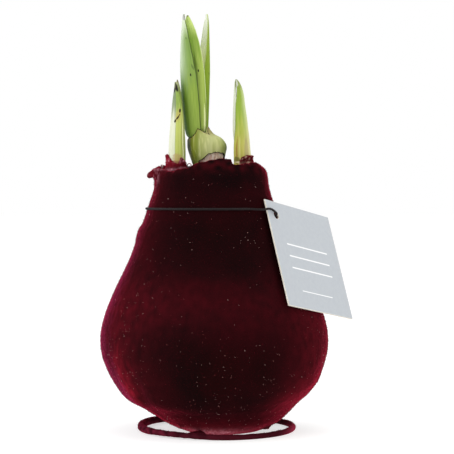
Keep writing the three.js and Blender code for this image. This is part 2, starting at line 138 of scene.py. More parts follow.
def band(below, above, count):
    # faces between two rings, each given by the number of its first point
    here = np.arange(count)
    after = (here + 1) % count
    return np.stack([below + here, below + after, above + after, above + here], 1).tolist()


def skin(rings):
    # a closed skin over rings of points, each counter-clockwise from above
    rings = np.asarray(rings, float)
    rows, count, _ = rings.shape
    points = np.vstack([rings.reshape(-1, 3), rings[0].mean(0), rings[-1].mean(0)])
    faces = []
    for row in range(rows - 1):
        faces += band(row * count, (row + 1) * count, count)
    bottom, top, lastRow = rows * count, rows * count + 1, (rows - 1) * count
    faces += [[bottom, (i + 1) % count, i] for i in range(count)]
    faces += [[top, lastRow + i, lastRow + (i + 1) % count] for i in range(count)]
    return points, faces


def joined(parts):
    points, faces, start = [], [], 0
    for partPoints, partFaces in parts:
        points.append(partPoints)
        faces += [[start + corner for corner in face] for face in partFaces]
        start += len(partPoints)
    return np.vstack(points), faces


def blob(centre, radii, around=28, rows=16):
    # a closed rounded lump
    up = np.linspace(-1, 1, rows + 2)[1:-1] * math.pi / 2
    turn = allRound(around)
    x = np.cos(up)[:, None] * np.cos(turn) * radii[0]
    y = np.cos(up)[:, None] * np.sin(turn) * radii[1]
    z = np.sin(up)[:, None] * np.ones(around) * radii[2]
    return skin(np.stack([x, y, z], 2) + np.array(centre))


def newObject(name, data):
    thing = bpy.data.objects.new(name, data)
    scene.collection.objects.link(thing)
    return thing


def meshPiece(name, points, faces):
    mesh = bpy.data.meshes.new(name)
    mesh.from_pydata((np.asarray(points) * mm).tolist(), [], faces)
    mesh.validate()
    mesh.shade_smooth()
    return newObject(name, mesh)


def setPointValues(piece, name, values):
    layer = piece.data.attributes.new(name, "FLOAT", "POINT")
    layer.data.foreach_set("value", np.asarray(values, np.float32).ravel())


def setUv(piece, name, uv):
    corners = np.empty(len(piece.data.loops), int)
    piece.data.loops.foreach_get("vertex_index", corners)
    layer = piece.data.uv_layers.new(name=name)
    layer.uv.foreach_set("vector", np.asarray(uv, np.float32)[corners].ravel())


def vertexValues(piece, key):
    flat = np.empty(len(piece.data.vertices) * 3)
    piece.data.vertices.foreach_get(key, flat)
    return flat.reshape(-1, 3)


def pointsOf(piece):
    return vertexValues(piece, "co") / mm


def settled(piece, name):
    # the piece with its modifiers worked in, as a plain mesh
    graph = bpy.context.evaluated_depsgraph_get()
    mesh = bpy.data.meshes.new_from_object(piece.evaluated_get(graph))
    bpy.data.objects.remove(piece)
    mesh.name = name
    return newObject(name, mesh)


def fused(piece, voxel):
    # overlapping lumps made one skin with evenly sized faces
    name = piece.name
    piece.name = name + "Rough"
    remesh = piece.modifiers.new("Fuse", "REMESH")
    remesh.mode = "VOXEL"
    remesh.voxel_size = voxel * mm
    remesh.use_smooth_shade = True
    return settled(piece, name)


def lumpy(piece, lumps, foot):
    # soft lumps over a skin, as [height, size, seed], with its foot kept flat on the table
    points = pointsOf(piece)
    rise = sum(height * ripple(points, size, seed) for height, size, seed in lumps)
    points = points + vertexValues(piece, "normal") * (rise * smooth(*foot, points[:, 2]))[:, None]
    points[:, 2] = np.maximum(points[:, 2], 0)
    piece.data.vertices.foreach_set("co", (points * mm).ravel())
    piece.data.update()
    return points


def finishPiece(piece, node, slot, *materials):
    piece.data.materials.clear()
    for material in materials:
        piece.data.materials.append(material)
    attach(piece, "root")
    if node:
        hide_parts(node)
    return piece


# Node trees. A node's inputs are given numbers, hex colours or the wires of other nodes.
def colour(code):
    # linear colour from a hex code
    parts = [int(code[i : i + 2], 16) / 255 for i in (1, 3, 5)]
    return [p / 12.92 if p <= 0.04045 else ((p + 0.055) / 1.055) ** 2.4 for p in parts] + [1]


def feed(node, inputs):
    for key, value in inputs.items():
        if isinstance(value, Wire):
            value.tree.links.new(value.socket, node.inputs[key])
        else:
            isColour = isinstance(value, str) and value.startswith("#")
            node.inputs[key].default_value = colour(value) if isColour else value


def put(tree, kind, inputs=None, out=0, **settings):
    # a new node, given back as the wire from one of its outputs
    node = tree.nodes.new(kind)
    for key, value in settings.items():
        setattr(node, key, value)
    feed(node, inputs or {})
    return Wire(node.outputs[out])


class Wire:
    # a node's output: a sum on it makes the node that works the sum out
    def __init__(self, socket):
        self.socket = socket
        self.tree = socket.id_data

    def out(self, name):
        return Wire(self.socket.node.outputs[name])

    def maths(self, operation, *others):
        return put(self.tree, "ShaderNodeMath", dict(enumerate([self, *others])), operation=operation)

    def __add__(self, other):
        return self.maths("ADD", other)

    def __sub__(self, other):
        return self.maths("SUBTRACT", other)

    def __rsub__(self, other):
        return put(self.tree, "ShaderNodeMath", {0: other, 1: self}, operation="SUBTRACT")

    def __mul__(self, other):
        return self.maths("MULTIPLY", other)

    def __truediv__(self, other):
        return self.maths("DIVIDE", other)

    def spread(self, low, high, outLow=0.0, outHigh=1.0):
        inputs = {"Value": self, "From Min": low, "From Max": high, "To Min": outLow, "To Max": outHigh}
        return put(self.tree, "ShaderNodeMapRange", inputs, interpolation_type="SMOOTHSTEP")

    def mix(self, a, b, kind="MIX"):
        # colour a where this is 0 and colour b where it is 1
        return put(self.tree, "ShaderNodeMix", {0: self, 6: a, 7: b}, 2, data_type="RGBA", blend_type=kind)

    def ramp(self, stops):
        # stops as [(place, hex colour), ...]
        result = put(self.tree, "ShaderNodeValToRGB", {0: self})
        elements = result.socket.node.color_ramp.elements
        while len(elements) < len(stops):
            elements.new(0.5)
        for element, (place, code) in zip(elements, stops):
            element.position = place
            element.color = colour(code)
        return result

    def noise(self, scale, detail=2.0, roughness=0.5, distortion=0.0):
        inputs = {"Vector": self, "Scale": scale, "Detail": detail, "Roughness": roughness}
        inputs["Distortion"] = distortion
        return put(self.tree, "ShaderNodeTexNoise", inputs)

    def stretched(self, x, y, z):
        return put(self.tree, "ShaderNodeMapping", {"Vector": self, "Scale": (x, y, z)})

    def parts(self):
        node = put(self.tree, "ShaderNodeSeparateXYZ", {0: self}).socket.node
        return [Wire(output) for output in node.outputs]

    def bumps(self, strength, distance):
        return put(self.tree, "ShaderNodeBump", {"Height": self, "Strength": strength, "Distance": distance})


def vectorOf(tree, x=0.0, y=0.0, z=0.0):
    return put(tree, "ShaderNodeCombineXYZ", {0: x, 1: y, 2: z})


def objectPlace(tree):
    return put(tree, "ShaderNodeTexCoord", out="Object")


def pointValue(tree, name):
    return put(tree, "ShaderNodeAttribute", out="Fac", attribute_name=name)


def uvParts(tree, name):
    return put(tree, "ShaderNodeUVMap", uv_map=name).parts()


def newMaterial(name):
    material = bpy.data.materials.new(name)
    material.use_nodes = True
    tree = material.node_tree
    return material, tree, tree.nodes["Principled BSDF"]


def groupTree(name, inputs, outputs, kind="ShaderNodeTree"):
    # each input is named with the number it starts from or with its socket's type
    tree = bpy.data.node_groups.new(name, kind)
    for label, value in inputs.items():
        socket = {float: "Float", int: "Int"}.get(type(value), value)
        item = tree.interface.new_socket(label, in_out="INPUT", socket_type="NodeSocket" + socket)
        if socket != value:
            item.default_value = value
    for label, socket in outputs.items():
        tree.interface.new_socket(label, in_out="OUTPUT", socket_type="NodeSocket" + socket)
    given = {output.name: Wire(output) for output in tree.nodes.new("NodeGroupInput").outputs}
    return tree, given, tree.nodes.new("NodeGroupOutput")


# Shader groups that several finishes share.
def makePileGroup():
    # velvet pile: where it is brushed one way or the other, its glints and its fine height
    inputs = {"Vector": "Vector", "Patch Scale": 45.0, "Fibre Scale": 1500.0}
    outputs = {"Patch": "Float", "Glint": "Float", "Height": "Float"}
    tree, given, result = groupTree("velvetPile", inputs, outputs)
    vector, fibreScale = given["Vector"], given["Fibre Scale"]
    patch = vector.noise(given["Patch Scale"], 3.0, 0.55, 0.6)
    fibre = vector.noise(fibreScale, 2.0, 0.7)
    clumps = vector.noise(fibreScale * 0.3, 2.0, 0.6)
    height = fibre * 0.6 + clumps * 0.8
    feed(result, {"Patch": patch.spread(0.34, 0.68), "Glint": fibre.spread(0.56, 0.78), "Height": height})
    return tree


def makeVeinGroup():
    # fine veins that run up a leaf, and the mottling between them
    outputs = {"Vein": "Float", "Streak": "Float", "Mottle": "Float"}
    tree, given, result = groupTree("leafVeins", {"Across": 0.0, "Height": 0.0, "Veins": 26.0}, outputs)
    across, height = given["Across"], given["Height"]
    waves = (across * given["Veins"] * 6.283).maths("COSINE")
    streak = vectorOf(tree, across * 22.0, height * 0.07).noise(1.0, 3.0, 0.6)
    mottle = vectorOf(tree, across * 2.6, height * 0.11).noise(1.0, 4.0, 0.62)
    feed(result, {"Vein": waves * 0.5 + 0.5})
    feed(result, {"Streak": streak.spread(0.3, 0.7), "Mottle": mottle.spread(0.32, 0.68)})
    return tree


def makeSpotGroup():
    # a ragged spot or scar at a place on a leaf: across from 0 to 1, height and sizes in millimetres
    inputs = {
        "Across": 0.0, "Height": 0.0, "Spot Across": 0.5, "Spot Height": 0.0,
        "Half Width": 0.03, "Half Height": 0.6, "Lean": 0.0, "Raggedness": 0.5,
    }
    tree, given, result = groupTree("leafSpot", inputs, {"Mask": "Float"})
    across, height = given["Across"], given["Height"]
    up = (height - given["Spot Height"]) / given["Half Height"]
    aside = (across - given["Spot Across"]) / given["Half Width"] - up * given["Lean"]
    distance = (up * up + aside * aside).maths("SQRT")
    ragged = vectorOf(tree, across * 30.0, height * 1.6).noise(1.0, 3.0, 0.7) - 0.5
    feed(result, {"Mask": (distance + ragged * given["Raggedness"]).spread(1.1, 0.75)})
    return tree


def makeGrainGroup():
    # paper grain: flecks of fibre and a fine tooth
    outputs = {"Fleck": "Float", "Height": "Float"}
    tree, given, result = groupTree("paperGrain", {"Vector": "Vector", "Scale": 900.0}, outputs)
    fleck = given["Vector"].noise(given["Scale"] * 0.25, 3.0, 0.7)
    tooth = given["Vector"].noise(given["Scale"], 2.0, 0.6)
    feed(result, {"Fleck": fleck.spread(0.35, 0.7), "Height": tooth})
    return tree


velvetPile = makePileGroup()
leafVeins = makeVeinGroup()
leafSpot = makeSpotGroup()
paperGrain = makeGrainGroup()


# Geometry trees.
def closeTree(geometry, given, result):
    # each tree ends in real geometry with its finish on
    real = put(geometry.tree, "GeometryNodeRealizeInstances", {"Geometry": geometry})
    done = put(geometry.tree, "GeometryNodeSetMaterial", {"Geometry": real, "Material": given["Finish"]})
    feed(result, {"Geometry": done})
    return geometry.tree


def makeSweepTree():
    # sweeps a lobed, twisted section along a line of points, with thickness read from them
    inputs = {
        "Geometry": "Geometry", "Radius": 0.0005, "Strands": 3, "Strand Depth": 0.1,
        "Turns per Metre": 0.0, "Section Points": 12, "Finish": "Material",
    }
    tree, given, result = groupTree("sweptStrand", inputs, {"Geometry": "Geometry"}, "GeometryNodeTree")
    curve = put(tree, "GeometryNodeMeshToCurve", {"Mesh": given["Geometry"]})
    curve = put(tree, "GeometryNodeSetCurveNormal", {"Curve": curve})
    thickness = put(tree, "GeometryNodeInputNamedAttribute", {"Name": "thickness"}, data_type="FLOAT")
    tilt = put(tree, "GeometryNodeSplineParameter", out="Length") * given["Turns per Metre"] * fullTurn
    curve = put(tree, "GeometryNodeSetCurveTilt", {"Curve": curve, "Tilt": tilt})
    even = {"Resolution": given["Section Points"], "Radius": 1.0}
    circle = put(tree, "GeometryNodeCurvePrimitiveCircle", even)
    place = put(tree, "GeometryNodeInputPosition")
    x, y, _ = place.parts()
    lobes = (y.maths("ARCTAN2", x) * given["Strands"]).maths("COSINE")
    offset = {0: place, "Scale": lobes * given["Strand Depth"]}
    offset = put(tree, "ShaderNodeVectorMath", offset, operation="SCALE")
    section = put(tree, "GeometryNodeSetPosition", {"Geometry": circle, "Offset": offset})
    radius = thickness * given["Radius"]
    sweep = {"Curve": curve, "Profile Curve": section, "Scale": radius, "Fill Caps": True}
    swept = put(tree, "GeometryNodeCurveToMesh", sweep)
    return closeTree(put(tree, "GeometryNodeSetShadeSmooth", {"Geometry": swept}), given, result)


def makeScatterTree(name, spikes):
    # scatters spikes of pile, or crumbs of lint, over a surface
    inputs = {
        "Geometry": "Geometry", "Number per Square Metre": 1e6, "Length": 0.0006, "Width": 0.0001,
        "Lean": 0.5, "Sink": 0.0001, "Seed": 1, "Finish": "Material",
    }
    tree, given, result = groupTree(name, inputs, {"Geometry": "Geometry"}, "GeometryNodeTree")
    lean, seed, radius = given["Lean"], given["Seed"], given["Width"] * 0.5
    share = put(tree, "GeometryNodeInputNamedAttribute", {"Name": "cover"}, data_type="FLOAT")
    density = share * given["Number per Square Metre"]
    scatter = {"Mesh": given["Geometry"], "Density": density, "Seed": seed}
    scattered = put(tree, "GeometryNodeDistributePointsOnFaces", scatter, out="Points")
    if spikes:
        cone = {"Vertices": 3, "Radius Top": 0.0, "Radius Bottom": radius, "Depth": given["Length"]}
        shape = put(tree, "GeometryNodeMeshCone", cone)
    else:
        shape = put(tree, "GeometryNodeMeshIcoSphere", {"Radius": radius})
    low, high = (vectorOf(tree, side, side) for side in (lean * -1.0, lean))
    tip = put(tree, "FunctionNodeRandomValue", {0: low, 1: high, "Seed": seed}, data_type="FLOAT_VECTOR")
    tip = put(tree, "FunctionNodeEulerToRotation", {0: tip})
    turn = {0: scattered.out("Rotation"), 1: tip}
    turned = put(tree, "FunctionNodeRotateRotation", turn, rotation_space="LOCAL")
    size = put(tree, "FunctionNodeRandomValue", {2: 0.55, 3: 1.35, "Seed": seed}, 1, data_type="FLOAT")
    copies = {"Points": scattered, "Instance": shape, "Rotation": turned, "Scale": size}
    placed = put(tree, "GeometryNodeInstanceOnPoints", copies)
    down = vectorOf(tree, z=given["Sink"] * -1.0)
    placed = put(tree, "GeometryNodeTranslateInstances", {"Instances": placed, "Translation": down})
    return closeTree(placed, given, result)


sweptStrand = makeSweepTree()
velvetFibres = makeScatterTree("velvetFibres", spikes=True)
lintCrumbs = makeScatterTree("lintCrumbs", spikes=False)


def withTree(piece, name, tree, values):
    # the piece run through a geometry tree, as a plain mesh under a new name
    modifier = piece.modifiers.new("Tree", "NODES")
    modifier.node_group = tree
    sockets = {item.name: item.identifier for item in tree.interface.items_tree if item.in_out == "INPUT"}
    for label, value in values.items():
        modifier[sockets[label]] = value
    piece.update_tag()
    return settled(piece, name)


def strandPiece(name, lines, values):
    # lines as [(points, thickness, closed), ...], each swept by the strand tree
    points, edges, thickness = [], [], []
    for line, widths, closed in lines:
        start, count = len(points), len(line)
        points += (np.asarray(line) * mm).tolist()
        thickness += list(np.broadcast_to(widths, count))
        edges += [[start + i, start + i + 1] for i in range(count - 1)]
        if closed:
            edges.append([start + count - 1, start])
    mesh = bpy.data.meshes.new(name + "Line")
    mesh.from_pydata(points, edges, [])
    line = newObject(name + "Line", mesh)
    setPointValues(line, "thickness", thickness)
    return withTree(line, name, sweptStrand, values)


def scatterPiece(name, surface, tree, cover, values, material):
    # pile or lint over a copy of a finished surface, thick where cover is 1
    ground = newObject(name + "Ground", surface.data.copy())
    setPointValues(ground, "cover", cover)
    return withTree(ground, name, tree, {**values, "Finish": material})


# Camera, light and floor.
camera = {
    "place": (0, -720, 96),
    "aim": (5.2, 0, 81.2),
    "focalPixels": 1800,
    "framePixels": 454,
    "sensor": 36,
    "clip": (0.05, 60),  # in metres
}
studio = {
    "floor": "#c4c3c2",
    "floorGlow": 0.62,  # keeps the far floor as pale as the room
    "floorReach": 6000,
    "floorHeight": -0.02,
    "room": 0.7,
    "aim": (0, 0, 80),
    # [name, place, size, power, colour]
    "lamps": [
        ["leftBox", (-620, -420, 430), (520, 700), 2.6, "#ffffff"],
        ["rightBox", (640, -180, 330), (360, 700), 1.3, "#fff9f6"],
        ["topBox", (60, 60, 800), (700, 600), 1.6, "#ffffff"],
        ["backBox", (-260, 640, 420), (500, 500), 0.7, "#ffffff"],
        ["coolBox", (-640, 260, 200), (260, 500), 0.4, "#b8a4ff"],
    ],
}


def aimed(name, data, place, target):
    thing = newObject(name, data)
    thing.location = Vector(place) * mm
    thing.rotation_euler = (Vector(target) - Vector(place)).to_track_quat("-Z", "Y").to_euler()
    return thing


def makeRoom():
    # a white room that gives less light than its brightness in the picture
    world = bpy.data.worlds.new("room")
    world.use_nodes = True
    tree = world.node_tree
    seen = put(tree, "ShaderNodeLightPath", out="Is Camera Ray")
    strength = seen.spread(0.0, 1.0, studio["room"], 1.0)
    feed(tree.nodes["Background"], {"Color": "#ffffff", "Strength": strength})
    scene.world = world
    scene.view_settings.view_transform = "Standard"


def makeFloor():
    reach, height = studio["floorReach"], studio["floorHeight"]
    corners = [(x * reach, y * reach, height) for x, y in ((-1, -1), (1, -1), (1, 1), (-1, 1))]
    floor = meshPiece("floor", corners, [[0, 1, 2, 3]])
    material, _, shader = newMaterial("paleFloor")
    feed(shader, {"Base Color": studio["floor"], "Roughness": 0.9, "Specular IOR Level": 0.1})
    feed(shader, {"Emission Color": "#ffffff", "Emission Strength": studio["floorGlow"]})
    floor.data.materials.append(material)


def makeStudio():
    data = bpy.data.cameras.new("camera")
    data.sensor_width = camera["sensor"]
    data.lens = camera["focalPixels"] / camera["framePixels"] * camera["sensor"]
    data.clip_start, data.clip_end = camera["clip"]
    scene.camera = aimed("camera", data, camera["place"], camera["aim"])
    for name, place, size, power, tint in studio["lamps"]:
        lamp = bpy.data.lights.new(name, "AREA")
        lamp.shape = "RECTANGLE"
        lamp.size = size[0] * mm
        lamp.size_y = size[1] * mm
        lamp.energy = power
        lamp.color = colour(tint)[:3]
        aimed(name, lamp, place, studio["aim"])
    makeRoom()
    makeFloor()


makeStudio()
print("camera, light and floor made")


# Velvet, on the bulb and on the wire.
velvet = {
    "bulb": ["#110809", "#32070c", "#861828"],  # deep and bright pile, and the crimson of its painted highlight
    "wire": ["#200a0f", "#521622", "#983048"],
    # the colour of the painted shade
    "paintedShade": "#0a0706",
    "paintedRim": ["#98223c", "#9a3064"],  # painted sheen colours for where the pile is seen edge on; the second, violet, on the far left
    "glint": "#5a0e1a",
    "bareWaxAndFootLight": ["#dc93a2", "#e8c4a8"],
    "sheen": "#c41a3a",
    "patchScale": 26.0,
    "fibreScale": 1500.0,
    # patches of painted highlight and of painted shade on the pile, in rows for patches()
    "lit": [
        [0.07, 222, 0.6, 52, 11], [0.22, 330, 0.3, 36, 18], [0.14, 218, 0.4, 28, 20], [0.45, 258, 0.9, 2, 5],
        [0.45, 258, 0.9, 1.3, 1.5], [0.45, 327, 0.3, 13, 9], [0.6, 344, 0.13, 19, 7],
    ],
    "shaded": [[0.5, 276, 0.75, 26, 17], [0.45, 272, 0.7, 78, 17]],
}


def velvetMaterial(name, pileColours, sheenWeight, paintedRimShare, bareWaxAndLitFoot=False):
    deep, bright, paintedHighlight = pileColours
    material, tree, shader = newMaterial(name)
    place = objectPlace(tree)
    x, _, z = place.parts()
    scales = {"Vector": place, "Patch Scale": velvet["patchScale"], "Fibre Scale": velvet["fibreScale"]}
    pile = put(tree, "ShaderNodeGroup", scales, node_tree=velvetPile)
    surface = (pile.out("Patch") * 0.5 + 0.02).mix(deep, bright)
    # painted highlight and painted shade, read from marks on the points
    surface = pointValue(tree, "paintedHighlight").mix(surface, paintedHighlight)
    surface = pointValue(tree, "paintedShade").mix(surface, velvet["paintedShade"])
    # painted sheen: the colour turns crimson where the pile is seen edge on, and violet on the far left
    facing = put(tree, "ShaderNodeLayerWeight", {"Blend": 0.3}, out="Facing")
    paintedRim = x.spread(-0.02, -0.038).mix(*velvet["paintedRim"])
    surface = (facing.spread(0.35, 1.0) * paintedRimShare).mix(surface, paintedRim)
    surface = (pile.out("Glint") * 0.2).mix(surface, velvet["glint"])
    if bareWaxAndLitFoot:
        # the wax is pink, and creamy high on the right; the same colours give the painted light at the foot
        wax = (x.spread(-0.004, 0.006) * z.spread(0.1, 0.104)).mix(*velvet["bareWaxAndFootLight"])
        surface = pointValue(tree, "bareWaxAndLitFoot").mix(surface, wax)
    feed(shader, {"Base Color": surface, "Normal": pile.out("Height").bumps(0.5, 0.0003)})
    feed(shader, {"Roughness": 0.95, "Specular IOR Level": 0.01})
    feed(shader, {"Sheen Weight": sheenWeight, "Sheen Roughness": 0.26, "Sheen Tint": velvet["sheen"]})
    return material


bulbVelvet = velvetMaterial("bulbVelvet", velvet["bulb"], sheenWeight=0.75, paintedRimShare=0.6, bareWaxAndLitFoot=True)
fibreVelvet = velvetMaterial("fibreVelvet", velvet["bulb"], sheenWeight=0.75, paintedRimShare=0.25)
wireVelvet = velvetMaterial("wireVelvet", velvet["wire"], sheenWeight=0.45, paintedRimShare=0.3)


# The bulb.
bulb = {
    # [distance from the axis, height] up the left and the right side
    "left": [
        [11.4, 0], [19.2, 3.3], [25.3, 7.1], [29.3, 9.6], [34, 12], [37.2, 15], [41.7, 22.2], [44.75, 30],
        [45.35, 38], [43.4, 47], [39.1, 57.5], [33.95, 67.5], [31.5, 74], [30.85, 77.3], [30.1, 80.2],
        [28.8, 82.3], [27.9, 84.5], [25.5, 92], [24.2, 95.5], [24, 98], [24, 101],
    ],
    "right": [
        [18, 0], [22, 1.6], [26.5, 4.2], [31.6, 9], [34.6, 12], [37.8, 14.8], [40.8, 18.4], [42.5, 21.4],
        [45.1, 30], [45.7, 38], [43.8, 47], [39.8, 57.5], [35, 67.5], [30, 77], [26.2, 84.5], [23.5, 92],
        [22.6, 95], [21.9, 98], [21.5, 101],
    ],
    "dents": [[-0.9, 222, 0.1, 20, 12], [0.9, 212, 0.13, 15, 9], [-1.7, 318, 0.5, 57, 17]],  # for patches()
    "toe": [[2.2, 268, 0.5, 0, 4]],
    "lipTop": [  # [degrees, height]
        [-20, 105.6], [0, 104.7], [25, 105.6], [60, 106.3], [100, 105.7], [140, 106.2], [175, 105.3],
        [200, 104.2], [214, 103.6], [228, 104.1], [241, 105], [257, 107.2], [270, 108], [282, 108.4],
        [290, 106.6], [305, 106.3], [328, 106.9], [340, 105.6], [360, 104.7],
    ],
    "lip": [[0.1, 3.5], [0.5, 1.6], [1.4, 0.4], [2.4, 0], [3.4, 0.7], [4.2, 2.1]],  # [inset, drop]
    "lipRows": 16,
    "floor": 101.6,
    "floorRows": 22,
    "around": 260,
    "rows": 190,
    "voxel": 0.72,
    "lumps": [[0.1, 1.6, 8], [0.09, 5, 9], [0.12, 14, 10]],
    "foot": (0.3, 3),
    # wax that rolls outwards at the left of the lip, as [x, y, z, radius]
    "roll": [
        [-19.6, -9.2, 103.6, 0.6], [-21.2, -7.8, 103.9, 0.8], [-22.8, -6.4, 103.9, 0.85],
        [-24.2, -5, 103.3, 0.8], [-25.2, -3.9, 102.5, 0.95], [-25.6, -3.2, 101.8, 1.35],
    ],
    # a lump on the rim and drips under the foot, as [x, y, z, radius across, radius up]
    "drips": [
        [5.8, -18.9, 107.3, 1.25, 0.9], [21.6, -8.5, 2, 0.75, 0.95], [20.3, -10, 1.6, 0.8, 0.6],
        [-13, -18, 3.4, 0.7, 0.6],
    ],
}
# the elastic cord on the neck: its knot, and where it leaves for the card and comes back, are in degrees
cord = {
    "height": 88.6,
    "clear": 0.48,
    "knot": 62,
    "toCard": 302,
    "fromCard": 348,
    "steps": (26, 8),  # points on the way to the card and back
    "knotSize": 0.75,
    "knotSteps": 90,
    "overCard": 0.75,  # how high its middle lies over the card
    "tails": [[2, 3, -5], [4, 1, -5]],  # from the knot to the two ends
    "tailBow": [0.5, 0.9, 0.8],
    "lineSteps": 14,  # points of the swept line for each one given
    # the inputs of the strand tree
    "strand": {
        "Radius": 0.43 * mm, "Strands": 3, "Strand Depth": 0.14, "Turns per Metre": 330.0,
        "Section Points": 18,
    },
}

# collars of wax that climb the outer shoots
collarShape = {"around": 120, "rows": 14, "root": 101}
collars = {
    "left": {
        "x": -14.6, "y": -3.9, "hole": 3.5, "torn": 106,
        # where bare wax shows as a thin line along its foot, as [x, height]
        "line": [[-20, 104.9], [-18, 103.9], [-16, 103.9], [-14, 104.4], [-11, 104.7]],
        "edge": [  # [degrees, height]
            [0, 105], [70, 106.8], [110, 105.4], [150, 107], [186, 110.4], [205, 109.7], [236, 108.1],
            [252, 107.2], [266, 106.2], [280, 106.4], [291, 109.3], [299, 109.3], [308, 107.9],
            [318, 107.6], [335, 106], [360, 105],
        ],
        # small torn lumps round its edge, as [degrees, height, radius]
        "lumps": [
            [196, 109.6, 0.8], [214, 108, 0.9], [294, 108.3, 0.75], [303, 107.2, 0.9], [318, 106.8, 0.8],
        ],
    },
    "right": {
        "x": 11.2, "y": -4.2, "hole": 3.65, "torn": 107.2, "line": [[6, 106.4], [10, 106.4], [14, 106.7]],
        "edge": [
            [0, 108], [30, 106.8], [70, 107], [150, 105.6], [215, 105.6], [245, 106], [259, 106.6],
            [268, 109], [278, 109.6], [290, 109.2], [303, 109.9], [320, 109.3], [338, 109], [360, 108],
        ],
        "lumps": [
            [262, 107.6, 0.8], [272, 108.6, 1], [286, 109, 0.75], [297, 109.2, 1.05], [312, 109.2, 0.85],
            [328, 109.3, 0.95],
        ],
    },
}


def relief(angle, z):
    swellings = 0.35 * np.sin(3 * angle + 0.6) + 0.25 * np.sin(5 * angle - 0.05 * z)
    shoulder = 0.3 * np.sin(4 * angle + 0.11 * z)
    return swellings * bell(z, 34, 30) + shoulder * bell(z, 72, 20) + patches(angle, z, bulb["dents"])


def bulbSide(angle, along):
    # distance from the axis and height of the bulb's side, along it from 0 at the foot to 1 at the neck
    share = ((1 + np.cos(angle)) / 2)[..., None]
    side = splinePoint(bulb["left"], along) * (1 - share) + splinePoint(bulb["right"], along) * share
    r, z = side[..., 0], side[..., 1]
    return r + relief(angle, z) * np.minimum(1, z / 6) + patches(angle, z, bulb["toe"]), z


def bulbRadius(angle, z):
    low, high = np.full(np.shape(angle), 0.3), np.ones(np.shape(angle))
    for _ in range(30):
        middle = (low + high) / 2
        below = bulbSide(angle, middle)[1] < z
        low, high = np.where(below, middle, low), np.where(below, high, middle)
    return bulbSide(angle, low)[0]


def bulbBody():
    angle = allRound(bulb["around"])
    rings = [roundPoints(angle, *bulbSide(angle, along)) for along in np.linspace(0, 1, bulb["rows"])]
    neck = bulbSide(angle, 1.0)[0]
    circle = roundPoints(angle, 20, 0)
    top = through(bulb["lipTop"])(np.degrees(angle))[:, 0]
    top = top + 0.45 * ripple(circle, 1.7, 1) + 0.5 * ripple(circle, 4.5, 2)
    ragged = 0.35 * ripple(circle, 2.1, 3)
    rolled = 2.1 * bump(angle, 186, 0.17) + 0.5 * bump(angle, 120, 0.2)
    for share in np.linspace(0, 1, bulb["lipRows"]):
        inset, drop = splinePoint(bulb["lip"], share)
        curl = rolled * (1 - 0.6 * smooth(0.3, 0.6, share)) + ragged * bell(share, 0.4, 0.3)
        rings.append(roundPoints(angle, neck - inset + curl, top - drop))
    inner = neck - bulb["lip"][-1][0]
    for share in np.linspace(0.94, 0.04, bulb["floorRows"]):
        rough = 0.4 * np.sin(5 * angle + 9 * share) + 0.3 * np.cos(3 * angle - 14 * share)
        ring = roundPoints(angle, inner * share, bulb["floor"] + rough * share)
        ring[:, 2] += 0.4 * ripple(ring, 2.4, 4)
        rings.append(ring)
    return skin(rings)


def collarBody(collar):
    # a mound of wax, hollow in the middle where the shoot stands
    angle = allRound(collarShape["around"])
    circle = roundPoints(angle, 4, collar["x"])
    top = between(np.degrees(angle), collar["edge"])
    top = top + 0.4 * ripple(circle, 0.9, 5) + 0.35 * ripple(circle, 0.45, 6)
    hole, root = collar["hole"], collarShape["root"]
    rings = [roundPoints(angle, hole + 2, root - 1.5)]
    for share in np.linspace(0, 1, collarShape["rows"]):
        rings.append(roundPoints(angle, hole + 1.75 - 0.75 * share**0.6, root + (top - 0.35 - root) * share))
    crown = [(hole + 0.7, top), (hole - 0.3, top - 0.3)]
    inside = [(hole - 1.1, np.minimum(top - 2.6, 104)), (1.2, 102)]
    rings += [roundPoints(angle, r, z) for r, z in crown + inside]
    return skin(np.array(rings) + np.array([collar["x"], collar["y"], 0]))


def fromCollar(points, collar):
    return np.hypot(points[:, 0] - collar["x"], points[:, 1] - collar["y"]) - collar["hole"]


def bareWaxAndFootLight(points):
    # where the flock is thin and the pale wax shows, with a painted light across the front of the foot
    x, y, z = points.T
    angle = np.arctan2(y, x)
    mask = 0.4 * bell(z, 104.2, 0.45) * bump(angle, 200, 0.25)
    for collar in collars.values():
        away = fromCollar(points, collar)
        front = smooth(-2, -4, y - collar["y"])
        line = between(x, collar["line"])
        mask += 1.1 * bell(z, line, 0.3) * bell(away, 1.3, 1.2) * front
        torn = smooth(0.05, 0.3, ripple(points, 0.38, 27)) * smooth(collar["torn"], collar["torn"] + 1.8, z)
        mask += 0.75 * torn * smooth(3, 1.6, away)
    streaks = 0.5 * bump(angle, 196, 0.1) * bell(z, 100.5, 2.5)
    streaks *= smooth(0.05, 0.3, ripple(points * [1, 1, 0.15], 0.5, 25))
    speckle = smooth(0.0, 0.3, ripple(points, 0.7, 7))
    foot = 0.9 * bell(z, 1.1, 0.7) * bump(angle, 281, 0.22) * smooth(0.1, 0.35, ripple(points, 0.5, 26))
    # painted light: a broad pale band across the front of the foot lifts it out of the shade under the belly
    foot += 0.3 * bell(z, 1.4, 1.5) * bump(angle, 262, 0.7) * (0.6 + 0.8 * speckle)
    return np.clip(mask * (0.3 + 0.7 * speckle) + foot + streaks, 0, 0.9)


